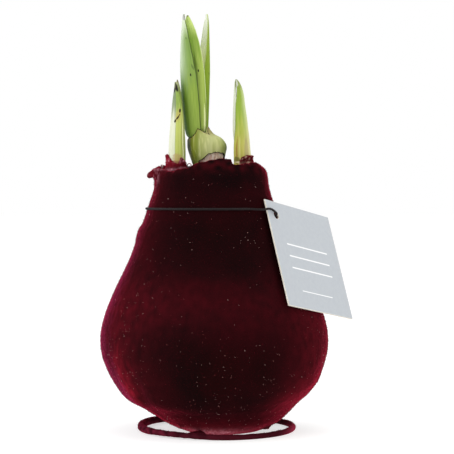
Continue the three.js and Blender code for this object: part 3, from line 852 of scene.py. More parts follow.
def paintedPileHighlight(points):
    # painted highlight: lighter crimson where the pile would catch the light, at the left of the neck and
    # lip, round the collars (most on their left), along the lower-left ridge, at the foot and on the lower
    # right, with patchy streaks
    x, y, z = points.T
    angle = np.arctan2(y, x)
    mask = 0.4 * smooth(98, 103, z) * bump(angle, 182, 0.35) + 0.15 * bump(angle, 180, 0.6)
    for collar in collars.values():
        side = smooth(1, -4, x - collar["x"]) + 0.35 * ripple(points, 0.9, 29)
        mask += (0.3 + 0.5 * side) * smooth(3, 1.6, fromCollar(points, collar)) * smooth(103.5, 106, z)
    mask += 0.2 * bell(z, 105.5, 2.2) * (0.6 + 1.4 * ripple(points, 2.5, 33)) + 0.11 * bell(z, 52, 11)
    highlightStreaks = 0.6 + 0.8 * ripple(points * [1, 1, 0.3], 1.6, 24)
    mask += 0.85 * bump(angle, 212, 0.13) * bell(z, 20, 13) * highlightStreaks + patches(angle, z, velvet["lit"])
    strokes = 0.2 * ripple(points * [1, 1, 0.25], 1.3, 31)
    return np.clip(mask * (0.8 + 0.4 * ripple(points, 3, 23) + strokes), 0, 1)


def paintedPileShade(points):
    # painted shade: darker where the pile faces the camera, low on the belly and on the neck, and in a band
    # under the front of the lip
    x, y, z = points.T
    angle = np.arctan2(y, x)
    rim = 0.12 * bump(angle, 270, 0.75) * bell(z, 104, 4) * (0.8 + 0.8 * ripple(points, 2.5, 34))
    uneven = 0.9 + 0.5 * ripple(points * [1, 1, 0.5], 9, 30)
    return np.clip((patches(angle, z, velvet["shaded"]) + rim) * uneven, 0, 1)


def makeBulb():
    parts = [bulbBody()] + [collarBody(collar) for collar in collars.values()]
    parts += [blob(p[:3], [p[3]] * 3) for p in easyCurve(bulb["roll"], 5)]
    for collar in collars.values():
        for degrees, height, radius in collar["lumps"]:
            x, y = roundPoints(math.radians(degrees), collar["hole"] + 0.9, 0)[:2]
            parts.append(blob((collar["x"] + x, collar["y"] + y, height), (radius, radius, radius * 0.8)))
    parts += [blob(drip[:3], [drip[3], drip[3], drip[4]]) for drip in bulb["drips"]]
    piece = fused(meshPiece("bulbSkin", *joined(parts)), bulb["voxel"])
    points = lumpy(piece, bulb["lumps"], bulb["foot"])
    for name, mask in (("bareWaxAndLitFoot", bareWaxAndFootLight), ("paintedHighlight", paintedPileHighlight), ("paintedShade", paintedPileShade)):
        setPointValues(piece, name, mask(points))
    print("bulb skin:", len(piece.data.polygons), "faces")
    return piece


bulbSkin = makeBulb()


# Pile, lint and scraps of wax on the bulb. The keys with capitals are the inputs of the trees.
fibres = {
    "Number per Square Metre": 1.25 / mm**2, "Length": 0.55 * mm, "Width": 0.16 * mm, "Lean": 0.7,
    "Sink": 0.12 * mm, "Seed": 3,
}
lint = {
    "Number per Square Metre": 0.1 / mm**2, "Width": 0.15 * mm, "Lean": 3.0, "Sink": -0.1 * mm, "Seed": 14,
}
scraps = {
    "places": [[-9.6, -19.6, 105.5, 0.8, 20], [-20.6, -7.2, 105.3, 0.65, 120]],  # [x, y, z, radius, degrees]
    "reach": 300,  # degrees that each one curls round
    "points": 22,
    "strand": {"Radius": 0.3 * mm, "Strands": 2, "Strand Depth": 0.3, "Section Points": 10},
}


def flecked(name, colours, scale, detail, limits, roughness):
    # a plain finish whose colour wanders from a dark to a light one
    material, tree, shader = newMaterial(name)
    shade = objectPlace(tree).noise(scale, detail)
    feed(shader, {"Base Color": shade.spread(*limits).mix(*colours), "Roughness": roughness})
    return material


def clearOf(points):
    # no pile on the table, under the cord or deep in the crater
    x, y, z = points.T
    nearCord = bell(z, cord["height"], 0.8)
    inside = smooth(20, 18, np.hypot(x, y)) * smooth(103, 102, z) * smooth(95, 99, z)
    return np.clip(smooth(0.5, 1.4, z) - nearCord - inside, 0, 1)


def lintCover(points):
    x, y, z = points.T
    angle = np.arctan2(y, x)
    thick = 0.4 + 0.9 * bell(z, 12, 24) + 0.9 * bump(angle, 222, 0.5) * bell(z, 36, 26)
    thick += 0.7 * bell(z, 103, 5)
    return thick * smooth(-0.7, 0.3, ripple(points, 20, 12)) * clearOf(points)


def makeScraps(material):
    lines = []
    for x, y, z, radius, degrees in scraps["places"]:
        turn, out = np.radians(np.linspace(0, scraps["reach"], scraps["points"])), math.radians(degrees)
        aside = radius * np.cos(turn)
        curl = np.stack([aside * math.cos(out), aside * math.sin(out), radius * np.sin(turn)], 1)
        lines.append((curl + np.array([x, y, z]), np.linspace(1, 0.5, len(curl)), False))
    piece = strandPiece("waxScraps", lines, {**scraps["strand"], "Finish": material})
    return finishPiece(piece, None, "velvet", material)


waxLook = {"scale": 900.0, "detail": 2.0, "limits": (0.42, 0.6), "roughness": 0.55}
lintLook = {"scale": 300.0, "detail": 1.0, "limits": (0.4, 0.6), "roughness": 0.8}
makeScraps(flecked("bareWaxScrap", ("#1c0e12", "#b89c9a"), **waxLook))
paleLint = flecked("paleLint", ("#b85a58", "#ffd8d0"), **lintLook)
bulbPoints = pointsOf(bulbSkin)
bulbPile = scatterPiece("bulbPile", bulbSkin, velvetFibres, clearOf(bulbPoints), fibres, fibreVelvet)
lintPiece = scatterPiece("lint", bulbSkin, lintCrumbs, lintCover(bulbPoints), lint, paleLint)
finishPiece(bulbSkin, "bulb", "velvet", bulbVelvet)
finishPiece(bulbPile, None, "velvet", fibreVelvet)
finishPiece(lintPiece, None, "velvet", paleLint)
print("pile:", len(bulbPile.data.polygons), "faces; lint:", len(lintPiece.data.polygons), "faces")


# The wire ring.
stand = {
    "ringRadius": [30.3, 31.9],
    "ringMiddle": [1.2, 0],
    # [degrees, height of the middle, radius]
    "sections": [
        [-50, 1.05, 1.12], [0, 1.15, 1.25], [60, 1.05, 1.15], [110, 1.1, 1.15], [150, 1.65, 1.5],
        [180, 1.5, 1.55], [205, 1.5, 1.4], [225, 1.7, 1.2], [248, 1.6, 1.12], [270, 1.15, 1.12],
        [310, 1.05, 1.12], [360, 1.15, 1.25],
    ],
    "around": 200,
    "spokeAt": 248,
    "spoke": {"radius": 1.05, "height": 1.3, "bend": 3.5},
    "spike": [6, 3.5, 22],  # [x, y, top]
    "voxel": 0.3,
    "lumps": [[0.1, 1.1, 13], [0.16, 3.4, 14]],
    "foot": (0, 0.6),
}


def ringPoint(degrees):
    height = through(stand["sections"])(degrees)[..., 0]
    angle = np.radians(degrees)
    x, y = stand["ringMiddle"]
    across, deep = stand["ringRadius"]
    return np.stack([x + across * np.cos(angle), y + deep * np.sin(angle), height], -1)


def spokePoints():
    x, y, top = stand["spike"]
    height, bend = stand["spoke"]["height"], stand["spoke"]["bend"]
    foot = np.array([x, y, height], float)
    joint = ringPoint(np.array(float(stand["spokeAt"])))
    out = (joint - foot) / np.linalg.norm(joint - foot)
    near = foot + out * bend * 0.3
    along = foot + (joint - foot) * 0.6
    return [
        [x, y, top], [x, y, (top + bend) / 2], [x, y, height + bend], [near[0], near[1], height + bend * 0.3],
        foot + out * bend, [along[0], along[1], height], joint,
    ]


def makeStand():
    degrees = np.linspace(0, 360, stand["around"], endpoint=False)
    ring = (ringPoint(degrees), through(stand["sections"])(degrees)[:, 1], True)
    spoke = (easyCurve(spokePoints(), 8), stand["spoke"]["radius"], False)
    values = {"Radius": mm, "Strands": 1, "Strand Depth": 0.0, "Section Points": 20, "Finish": wireVelvet}
    piece = fused(strandPiece("wireRing", [ring, spoke], values), stand["voxel"])
    points = lumpy(piece, stand["lumps"], stand["foot"])
    angle = np.arctan2(points[:, 1], points[:, 0])
    # painted highlight at the ring's right end, and mottled painted light towards its left end
    mottledLight = (0.22 + 0.4 * ripple(points, 2.2, 28)) * bump(angle, 205, 0.8)
    setPointValues(piece, "paintedHighlight", 0.8 * bump(angle, 350, 0.3) + mottledLight)
    print("wire ring:", len(piece.data.polygons), "faces")
    return piece


wireRing = makeStand()
wireX, wireY, wireZ = pointsOf(wireRing).T
outsideBulb = smooth(15, 19, np.hypot(wireX, wireY)) * smooth(0.55, 1, wireZ)
wirePile = scatterPiece("wirePile", wireRing, velvetFibres, outsideBulb, fibres, wireVelvet)
finishPiece(wireRing, "wire_stand", "flocked_wire", wireVelvet)
finishPiece(wirePile, None, "flocked_wire", wireVelvet)


# Leaves. A station is [height, centre x, centre y, radius, half span in degrees]. "near" and "far" hold
# the low and the high colour of each side: the sides meet over "turn", across the leaf, and the low colour
# meets the high one round the height "bend", over a length of "span".
leafShape = {"thickness": 0.8, "rows": 110, "columns": 41, "ribs": 13, "marginDegrees": 3}
heightUnit = 200  # the leaf map's height runs from 0 at the table to 1 at this height
leaves = {
    "leaf_left": {
        "facing": 209,
        "stations": [
            [112, -6, 0.2, 2.9, 82], [116.2, -6.25, 0.3, 3.25, 82], [117.6, -6.75, 0.6, 4.1, 84],
            [119.5, -7.1, 0.75, 4.4, 86], [121, -7.3, 0.75, 4.5, 87], [126, -7.7, 0.45, 4.7, 88.5],
            [133, -8.3, 0.1, 4.7, 90], [140, -8.7, 0, 4.65, 86], [147, -9.05, 0, 4.5, 73],
            [153, -9.25, 0, 4.15, 60], [158.4, -9.5, 0, 3.6, 46], [162.5, -9.75, 0, 3, 30],
            [164.8, -10, 0, 2.6, 16], [166, -10.1, 0, 2.4, 4],
        ],
        "near": ("#4e7610", "#c3d1b6"), "far": ("#93a94c", "#84a054"), "turn": (0.42, 0.86),
        "bend": 141, "span": 16, "tip": ("#dbe5cc", 155, 164), "inner": ("#b4c488", "#e4ecd4"),
        # the dark margin is painted shade, for the shadow its right edge casts on leaf_middle
        "margin": ("#4f6420", 0.012), "curl": 0.1,
    },
    "leaf_middle": {
        "facing": 230,
        "stations": [
            [112, -5.2, 0.9, 2.1, 84], [117, -5.3, 0.9, 2.3, 86], [121, -5.5, 1, 3, 90],
            [131, -6, 1.3, 3.75, 89], [138, -6.3, 1.5, 3.95, 84], [144, -6.7, 1.5, 3.95, 82],
            [151.5, -7.4, 1.5, 3.75, 76], [156, -7.9, 1.5, 3.4, 68], [160.3, -8.4, 1.5, 3, 54],
            [163.2, -8.75, 1.5, 2.7, 36], [165, -8.95, 1.5, 2.55, 18], [165.7, -9, 1.5, 2.5, 5],
        ],
        "near": ("#66862a", "#b2d464"), "far": ("#aec262", "#92ae4c"), "turn": (0.45, 0.85),
        "bend": 148, "span": 18, "tip": ("#d2e490", 156, 163), "inner": ("#a2b862", "#d2e29c"),
        "margin": ("#c8d698", 0.03), "curl": 0.2,
    },
    "leaf_right": {
        "facing": 26,
        "stations": [
            [112, -4.5, 1.6, 1.9, 90], [117, -4.5, 1.7, 1.95, 90], [121, -4.7, 2.2, 2.45, 98],
            [131, -4.9, 2.7, 3, 102], [142, -4.75, 3, 3.15, 101], [148, -4.6, 3, 3, 94],
            [151.5, -4.55, 3, 2.9, 86], [158.4, -4.35, 3, 2.5, 72], [162.5, -4.15, 3, 2.15, 60],
            [165.2, -4.1, 3, 1.85, 38], [166.5, -4.1, 3, 1.7, 8],
        ],
        "near": ("#7f9a0c", "#90a532"), "far": ("#7f9a0c", "#90a532"), "turn": (0.4, 0.6),
        # its near-white inner colours, lightest low down, are painted light on the shaded inner face
        "bend": 148, "span": 30, "tip": ("#a9b870", 158, 166), "inner": ("#ffffdc", "#e6eadb"),
        "margin": ("#b9c58a", 0.015), "curl": 0,
    },
    "left_shoot_wrap": {
        "facing": 216,
        "stations": [
            [99.4, -14.75, -4, 3.45, 106], [107, -14.75, -4, 3.45, 106], [112, -14.7, -4, 3.35, 106],
            [117, -14.6, -4, 3.15, 104], [125, -14.35, -4, 2.75, 98], [131, -14.2, -4, 2.35, 82],
            [135.4, -14.15, -4, 1.85, 52], [137.8, -14.3, -4, 1.45, 28], [138.9, -14.4, -4, 1.3, 6],
        ],
        "near": ("#dcdfc8", "#8b9a78"), "far": ("#c3cb72", "#98b05a"), "turn": (0.675, 0.715),
        "bend": 127, "span": 8, "tip": ("#9ba078", 134, 139), "inner": ("#d2d6a2", "#d2d6a2"),
        "margin": ("#f0f1c4", 0.06), "marginTop": (125, 119), "curl": 0,
    },
    "right_shoot": {
        "facing": 310,
        "stations": [
            [99.4, 11.3, -4.5, 3.6, 112], [107, 11.3, -4.5, 3.6, 116], [112.5, 11.05, -4.5, 3.35, 118],
            [115.5, 10.95, -4.5, 3.2, 112], [118, 10.85, -4.5, 3.05, 101], [120.5, 10.65, -4.5, 2.95, 90],
            [124, 10.4, -4.5, 2.8, 84], [130, 9.9, -4.5, 2.45, 73], [133.6, 9.7, -4.5, 2.2, 58],
            [136.8, 9.15, -4.5, 1.9, 44], [138.9, 8.4, -4.5, 1.7, 26], [139.9, 7.9, -4.5, 1.6, 5],
        ],
        "near": ("#c8c064", "#98b044"), "far": ("#d2cda0", "#ccd8a0"), "turn": (0.25, 0.75),
        "bend": 119, "span": 20, "tip": ("#97a45c", 134, 139), "inner": ("#b4bd84", "#b4bd84"),
        "margin": ("#4e5e1c", 0.02), "curl": 0,
    },
    "right_shoot_inner": {
        "facing": 185,
        "stations": [
            [99.4, 10.85, -4.1, 1.75, 84], [107, 10.8, -4.1, 1.75, 84], [112, 10.3, -4, 1.65, 84],
            [115, 9.7, -3.7, 1.65, 84], [117.3, 9.55, -3.65, 1.8, 84], [119.5, 9.5, -3.65, 2, 84],
            [123, 9.5, -3.7, 2.05, 84], [127.2, 9.4, -3.85, 1.85, 84], [131.5, 9.3, -3.85, 1.55, 78],
            [136, 9.1, -3.95, 1.15, 60], [138.4, 9.2, -4.1, 1.05, 34], [139.6, 9.4, -4.2, 1, 10],
        ],
        "near": ("#d6d8c6", "#e0e3d4"), "far": ("#d6d8c6", "#e0e3d4"), "turn": (0.3, 0.8),
        "bend": 120, "span": 30, "tip": ("#d5d9c4", 134, 139), "inner": ("#c4caa8", "#c4caa8"),
        "margin": ("#8d9a58", 0.02), "curl": 0,
    },
}
# marks on the leaves: [across, height, half width, half height, lean, raggedness, colour, strength]
leafMarks = {
    "leaf_left": [
        [0.825, 141.7, 0.021, 0.62, 0, 0.3, "#23270a", 1],
        [0.83, 156.3, 0.03, 0.5, 0, 0.5, "#3f4f28", 0.9],
        [0.93, 144.8, 0.035, 1.2, -0.5, 1.2, "#4b5e30", 0.6],
        # a dark line along the right edge: painted shade where it lies over leaf_middle
        [0.985, 138, 0.008, 30, 0, 0.3, "#3a4c14", 0.9],
        [0.75, 165, 0.5, 1.6, 0, 0.6, "#a9a6a8", 0.8],
    ],
    "leaf_middle": [
        [0.78, 143.5, 0.025, 0.62, 0, 0.3, "#20260a", 1],
        [0.5, 165.6, 0.9, 0.5, 0, 0.5, "#75705a", 0.8],
        # a pale streak by the rolled right edge, partly the edge's own paler colour and partly painted
        # highlight
        [0.92, 122.5, 0.04, 8, 0, 0.5, "#ecf4b4", 0.85],
        # painted shadow cast by leaf_left's edge
        [0.7, 142, 0.05, 9, 0, 0.5, "#587426", 0.5],
        # a dark line along the right edge: painted shade in the gap beside leaf_right
        [0.985, 124, 0.014, 9, 0, 0.4, "#4c5a1c", 0.8],
    ],
    "leaf_right": [
        [0.19, 151.2, 0.02, 0.55, 0, 0.5, "#2c370c", 0.9],
        [0.225, 142.6, 0.02, 0.55, 0, 0.5, "#2c370c", 0.9],
    ],
    "left_shoot_wrap": [
        [0.697, 119, 0.006, 30, 0, 0.5, "#66703c", 0.75],
        [0.925, 118, 0.012, 30, 0, 0.6, "#75833a", 0.7],
        [0.86, 136.9, 0.22, 2.1, -0.2, 0.5, "#140e0c", 1],
        [0.47, 135.6, 0.2, 1.2, 0.6, 0.5, "#140e0c", 1],
        [0.62, 136.6, 0.14, 0.5, 0, 1, "#5b4a36", 0.8],
        [0.8, 125.6, 0.12, 2.8, 0.6, 1.2, "#bcae60", 0.7],
        [0.885, 127.4, 0.05, 0.9, 0.3, 0.5, "#2c1a08", 1],
        [0.85, 125.7, 0.03, 0.6, 1.4, 0.9, "#6a5622", 1],
        [0.77, 124.6, 0.045, 0.9, 1.4, 0.8, "#33200c", 1],
        [0.665, 123.3, 0.04, 0.7, 0.3, 0.3, "#1c1408", 1],
        [0.7, 106.9, 0.2, 0.8, 0, 1.6, "#6e2a26", 0.9],
        [0.54, 107.7, 0.05, 0.9, 0, 1, "#8e5040", 0.8],
        [0.76, 108.6, 0.16, 2, 0, 1.4, "#b89664", 0.6],
    ],
    "left_shoot_heart": [[0.5, 139.3, 0.6, 0.7, 0, 0.4, "#6f5a34", 0.7]],
    "right_shoot": [
        [0.17, 111, 0.035, 6.5, 0, 0.7, "#a07c36", 0.85],
        [0.26, 112, 0.025, 6, 0, 0.5, "#d4ca88", 0.5],
        [0.47, 111, 0.07, 6.5, 0, 0.7, "#a0926a", 0.55],
        [0.59, 112, 0.012, 8, 0, 0.4, "#dcd6b0", 0.8],
        [0.15, 107.8, 0.12, 1.5, 0, 0.8, "#6e6c2c", 0.8],
        [0.45, 107, 0.4, 0.45, 0, 0.6, "#ecdcb4", 0.9],
        [0.08, 139, 0.3, 2, 0, 0.4, "#dde0d2", 0.8],
    ],
}


def leafBody(leaf):
    at = through(leaf["stations"])
    bottom, top = leaf["stations"][0][0], leaf["stations"][-1][0]
    across = np.linspace(-1, 1, leafShape["columns"])
    u = (across + 1) / 2
    wall = leafShape["thickness"] * (1 - 0.45 * across**4)
    rings, maps, inner = [], [], []
    for height in bottom + (top - bottom) * (1 - (1 - np.linspace(0, 1, leafShape["rows"])) ** 1.5):
        cx, cy, radius, halfSpan = at(height)
        halfSpan *= 1 + 0.02 * float(ripple([height, halfSpan, 0], 6, 15))
        angle = np.radians(leaf["facing"] + halfSpan * across)
        curl = leaf["curl"] * np.maximum(across, 0) ** 6
        sway = 0.07 * ripple(np.stack([across * 2, 0 * across + height / 9, 0 * across], 1), 1, 16)
        outer = radius + curl + sway + 0.02 * np.cos(across * leafShape["ribs"] * math.pi)
        centre = np.array([cx, cy, 0])
        sheets = [roundPoints(angle, r, height) + centre for r in (outer, outer - wall)]
        # the margins are rounded by a point half way through the thickness
        reach = halfSpan + leafShape["marginDegrees"]
        past = [np.radians(leaf["facing"] + side * reach) for side in (1, -1)]
        ends = [roundPoints(past[i], outer[i - 1] - wall[0] / 2, height)[None] + centre for i in (0, 1)]
        rings.append(np.vstack([sheets[0], ends[0], sheets[1][::-1], ends[1]]))
        around = np.concatenate([u, [1], u[::-1], [0]])
        maps.append(np.stack([around, np.full_like(around, height / heightUnit)], 1))
        inner.append(np.concatenate([0 * u, [0.5], 0 * u + 1, [0.5]]))
    points, faces = skin(rings)
    caps = [[0.5, bottom / heightUnit], [0.5, top / heightUnit]]
    return points, faces, np.vstack([*maps, caps]), np.concatenate([*inner, [0.5, 0.5]])


def leafMaterial(name, leaf):
    material, tree, shader = newMaterial(name + "Skin")
    across, height, _ = uvParts(tree, "leafMap")
    height = height * float(heightUnit)
    onLeaf = {"Across": across, "Height": height}
    grown = put(tree, "ShaderNodeGroup", onLeaf, node_tree=leafVeins)
    vein, streak, mottle = (grown.out(label) for label in ("Vein", "Streak", "Mottle"))
    inner = pointValue(tree, "inner")
    outside = 1.0 - inner
    # the low and high colours run into each other in streaks
    bend, halfSpan = leaf["bend"], leaf["span"] / 2
    rise = (streak * 7.0 + (height - 3.5)).spread(bend - halfSpan, bend + halfSpan)
    surface = across.spread(*leaf["turn"]).mix(rise.mix(*leaf["near"]), rise.mix(*leaf["far"]))
    tipColour, tipFrom, tipTo = leaf["tip"]
    surface = height.spread(tipFrom, tipTo).mix(surface, tipColour)
    # the inner faces take the inner colours; on leaf_left, leaf_middle and leaf_right these are painted
    # light, paler to lift the shade on those faces
    surface = inner.mix(surface, height.spread(146.0, 160.0).mix(*leaf["inner"]))
    surface = (streak * (outside * 0.28 + 0.12)).mix(surface, "#59682a", "SOFT_LIGHT")
    surface = (mottle * 0.3).mix(surface, "#c8d0b0", "SOFT_LIGHT")
    surface = (vein * 0.2).mix(surface, "#4e5c20", "SOFT_LIGHT")
    marginColour, marginWidth = leaf["margin"]
    margin = across.maths("MINIMUM", 1.0 - across).spread(marginWidth, marginWidth * 0.4)
    if "marginTop" in leaf:
        margin = margin * height.spread(*leaf["marginTop"])
    surface = margin.mix(surface, marginColour)
    shape = ("Spot Across", "Spot Height", "Half Width", "Half Height", "Lean", "Raggedness")
    for *sizes, code, strength in leafMarks.get(name, []):
        spot = put(tree, "ShaderNodeGroup", {**onLeaf, **dict(zip(shape, sizes))}, node_tree=leafSpot)
        surface = (spot * strength * outside).mix(surface, code)
    normal = (vein * 0.5 + streak).bumps(0.35, 0.00015)
    feed(shader, {"Base Color": surface, "Roughness": streak.spread(0.0, 1.0, 0.42, 0.55), "Normal": normal})
    feed(shader, {"Specular IOR Level": 0.22})
    return material


def finishLeaf(name, slot, leaf, points, faces, uv, inner):
    piece = meshPiece(name + "_fine", points, faces)
    setUv(piece, "leafMap", uv)
    setPointValues(piece, "inner", inner)
    return finishPiece(piece, name, slot, leafMaterial(name, leaf))


for leafName, leaf in leaves.items():
    finishLeaf(leafName, "leaf" if leafName.startswith("leaf") else "young_leaf", leaf, *leafBody(leaf))

# The rolled heart of the left shoot, coloured as a leaf is.
heart = {
    # [height, centre x, centre y, radius]
    "stations": [
        [99.4, -13.35, -3.3, 2.1], [107, -13.35, -3.3, 2.1], [112, -13.35, -3.3, 2.1],
        [119.4, -13.5, -3.4, 1.95], [128.6, -13.85, -3.3, 1.6], [134.1, -14, -3.1, 1.1],
        [138.2, -14.35, -3, 0.6], [139.9, -14.6, -3, 0.2],
    ],
    "rows": 90,
    "around": 48,
    "seam": 300,  # degrees, where the outermost leaf's edge lies
    "step": 0.16,
    "near": ("#c0c684", "#98a65a"), "far": ("#b6be7c", "#93a458"), "turn": (0.25, 0.8),
    "bend": 124, "span": 30, "tip": ("#b9bb9c", 134, 139), "inner": ("#c0c684", "#c0c684"),
    "margin": ("#c0c684", 0.001),
}


def makeHeart():
    at = through(heart["stations"])
    angle = allRound(heart["around"])
    bottom, top = heart["stations"][0][0], heart["stations"][-1][0]
    rings, maps = [], []
    for height in np.linspace(bottom, top, heart["rows"]):
        cx, cy, radius = at(height)
        past = ((angle - math.radians(heart["seam"] + 0.8 * (height - 120))) % fullTurn) / fullTurn
        r = radius * (1 - heart["step"] * smooth(0.25, 0, past))
        rings.append(roundPoints(angle, r, height) + np.array([cx, cy, 0]))
        maps.append(np.stack([0.5 + 0.5 * np.cos(angle), np.full_like(angle, height / heightUnit)], 1))
    points, faces = skin(rings)
    uv = np.vstack([*maps, [[0.5, end / heightUnit] for end in (bottom, top)]])
    return finishLeaf("left_shoot_heart", "young_leaf", heart, points, faces, uv, np.zeros(len(points)))


makeHeart()
print("leaves and shoots made")


# The bud's sheath and the stub under it.
sheath = {
    # [height, leftmost x, rightmost x, half depth]
    "sections": [
        [97, -7, 3.2, 4.9], [104, -7.9, 3.8, 5.2], [107, -8.8, 4.1, 5.5], [110, -9.8, 4.5, 5.9],
        [113, -10.6, 5.1, 6.2], [115, -10.7, 4.5, 6.1], [117, -10.65, 2.7, 5.8], [118.4, -10.65, 0.1, 5.5],
        [120, -10.65, -0.9, 5.4], [122, -10.6, -1.2, 5.4],
    ],
    "y": 0.5,
    # the cut upper edge, as [degrees, height]
    "edge": [
        [0, 118.2], [45, 118.6], [90, 119.2], [135, 117], [180, 116.1], [225, 117.1], [248, 118.7],
        [262, 120.6], [282, 119.5], [305, 118.1], [321, 121.2], [338, 119.7], [360, 118.2],
    ],
    "wall": 0.7,
    "pocketFloor": 111.5,
    "pocketSection": 121.0,  # the height whose section the pocket keeps all the way down
    "pocketRows": 16,
    # the lower edge, torn away from the stub, as [x, height]
    "tear": [
        [-6.4, 107.1], [-4.6, 108.2], [-3.4, 109.2], [-2.3, 110.2], [-1.3, 110.1], [-0.5, 110.6],
        [0.5, 110.9], [2.2, 110.8], [3.4, 110.6], [4.2, 110.1], [4.6, 109], [7, 108],
    ],
    "foot": 99.3,
    "around": 200,
    "rows": 70,
    # its colours from left to right, darkest at both ends as painted shade where the sheath turns away
    "stripes": [
        (0, "#222c06"), (0.08, "#3f4c0e"), (0.17, "#8e9832"), (0.24, "#7f8b34"), (0.38, "#a8ae68"),
        (0.6, "#bfc386"), (0.8, "#d0d490"), (0.88, "#b4bd6c"), (0.95, "#7f8b3a"), (1, "#46521c"),
    ],
}
stub = {"inset": 0.6, "top": 112.6, "around": 150, "rows": 50}
farFromEdge = 9  # stands for any distance at which an edge's colour has ended


def sheathPoint(angle, z, inset, sectionAt=None):
    # on the sheath's oval at a height, or on the oval of another height
    section = through(sheath["sections"])(z if sectionAt is None else sectionAt)
    left, right, depth = np.moveaxis(section, -1, 0)
    x = (left + right) / 2 + ((right - left) / 2 - inset) * np.cos(angle)
    return np.stack([x, sheath["y"] + (depth - inset) * np.sin(angle), z + 0 * angle], -1)


def upperEdge(angle):
    height = between(np.degrees(angle) % 360, sheath["edge"])
    return height + 0.16 * ripple(roundPoints(angle, 5, 0), 0.7, 17)


def lowerEdge(angle):
    # the tear at the front, and the foot, deep in the bulb, everywhere else
    z = np.full_like(angle, 109.0)
    for _ in range(12):
        x = sheathPoint(angle, z, 0)[..., 0]
        z = between(x, sheath["tear"])
    jag = 0.3 * ripple(roundPoints(angle, 5, 3), 0.8, 18)
    front = smooth(0.05, -0.08, np.sin(angle)) * smooth(-6.9, -6.1, x)
    return sheath["foot"] + (z + jag - sheath["foot"]) * front


def makeSheath():
    angle = allRound(sheath["around"])
    low, high = lowerEdge(angle), upperEdge(angle)
    outward = roundPoints(angle, 1, 0)
    wall = sheath["wall"]
    rings, fromTop, fromTear = [], [], []

    def add(points, below, above):
        rings.append(points)
        fromTop.append(below + 0 * angle)
        fromTear.append(above + 0 * angle)

    for inset, rise in ((wall + 0.25, 1.2), (wall, 0.25), (wall * 0.6, 0), (0.12, 0)):
        add(sheathPoint(angle, low + rise, inset), high - low, 0.1)
    for share in np.linspace(0.01, 0.985, sheath["rows"]):
        z = low + (high - low) * share
        points = sheathPoint(angle, z, 0)
        ribs = 0.05 * ripple(points * [1, 1, 0.08], 0.8, 19) + 0.1 * ripple(points, 4, 20)
        add(points + outward * ribs[:, None], high - z, z - low)
    outer = sheathPoint(angle, high, 0)
    rim = sheathPoint(angle, high - 0.1, wall, sheath["pocketSection"])
    width = np.hypot(*(rim - outer)[:, :2].T)
    for share in (0.15, 0.5, 0.85):
        crown = outer + (rim - outer) * share
        crown[:, 2] += 0.1
        add(crown, width * share, farFromEdge)
    for share in np.linspace(0.02, 1, sheath["pocketRows"]):
        z = high - 0.1 + (sheath["pocketFloor"] - high) * share
        add(sheathPoint(angle, z, wall, sheath["pocketSection"]), width + 8 * share, farFromEdge)
    piece = meshPiece("bud_sheath_fine", *skin(rings))
    for name, rows in (("fromTop", fromTop), ("fromTear", fromTear)):
        setPointValues(piece, name, np.concatenate([*rows, [farFromEdge, farFromEdge]]))
    return finishPiece(piece, "bud_sheath", "sheath", sheathMaterial())


def sheathMaterial():
    material, tree, shader = newMaterial("sheathSkin")
    place = objectPlace(tree)
    x, _, z = place.parts()
    stripes = place.stretched(1.0, 1.0, 0.07).noise(900.0, 3.0, 0.65)
    broad = place.stretched(1.0, 1.0, 0.12).noise(330.0)
    side = put(tree, "ShaderNodeMapRange", {"Value": x, "From Min": -0.0108, "From Max": 0.0052})
    surface = side.ramp(sheath["stripes"])
    surface = (stripes.spread(0.5, 0.66) * 0.5).mix(surface, "#dadb9e")
    surface = (broad.spread(0.52, 0.68) * 0.45).mix(surface, "#8b9630")
    low = z.spread(0.112, 0.104) * x.spread(-0.003, -0.009)  # the lower left
    surface = (low * 0.75).mix(surface, "#59622a")
    # both edges are dried and browned
    ragged = place.noise(1500.0, 3.0, 0.7) * 0.9
    near, tear = (pointValue(tree, name) + ragged for name in ("fromTop", "fromTear"))
    dried = near.spread(0.85, 0.55).maths("MAXIMUM", tear.spread(0.85, 0.55))
    flap = x.spread(-0.0038, -0.0022) * z.spread(0.1165, 0.1195)  # the raised right of the upper edge
    browned = (near.spread(1.8, 0.7) * 0.3).maths("MAXIMUM", flap * 0.6)
    surface = dried.mix(browned.mix(surface, "#97844c"), "#221608")
    feed(shader, {"Base Color": surface, "Normal": stripes.bumps(0.5, 0.0003)})
    feed(shader, {"Roughness": dried.spread(0.0, 1.0, 0.5, 0.8), "Specular IOR Level": 0.15})
    return material


def stubMaterial():
    material, tree, shader = newMaterial("bareStub")
    place = objectPlace(tree)
    fibrous = place.stretched(1.0, 1.0, 0.15).noise(1100.0, 3.0, 0.7)
    surface = fibrous.ramp([(0.36, "#c8a28a"), (0.48, "#f6dcc4"), (0.6, "#fffaec")])
    surface = (place.noise(420.0).spread(0.45, 0.7) * 0.5).mix(surface, "#c88c84")
    surface = place.parts()[0].spread(0.001, -0.005, 0.0, 0.65).mix(surface, "#86564a")
    feed(shader, {"Base Color": surface, "Normal": fibrous.bumps(0.6, 0.0004), "Roughness": 0.7})
    return material


def makeStub():
    angle = allRound(stub["around"])
    rings = []
    for z in np.linspace(sheath["foot"], stub["top"], stub["rows"]):
        points = sheathPoint(angle, z, stub["inset"])
        fray = 0.12 * ripple(points * [1, 1, 0.15], 0.9, 21) + 0.12 * ripple(points, 2.2, 22)
        rings.append(points + roundPoints(angle, 1, 0) * (fray - 0.1)[:, None])
    return finishPiece(meshPiece("sheath_stub_fine", *skin(rings)), "sheath_stub", "stub", stubMaterial())


makeSheath()
makeStub()
print("sheath and stub made")


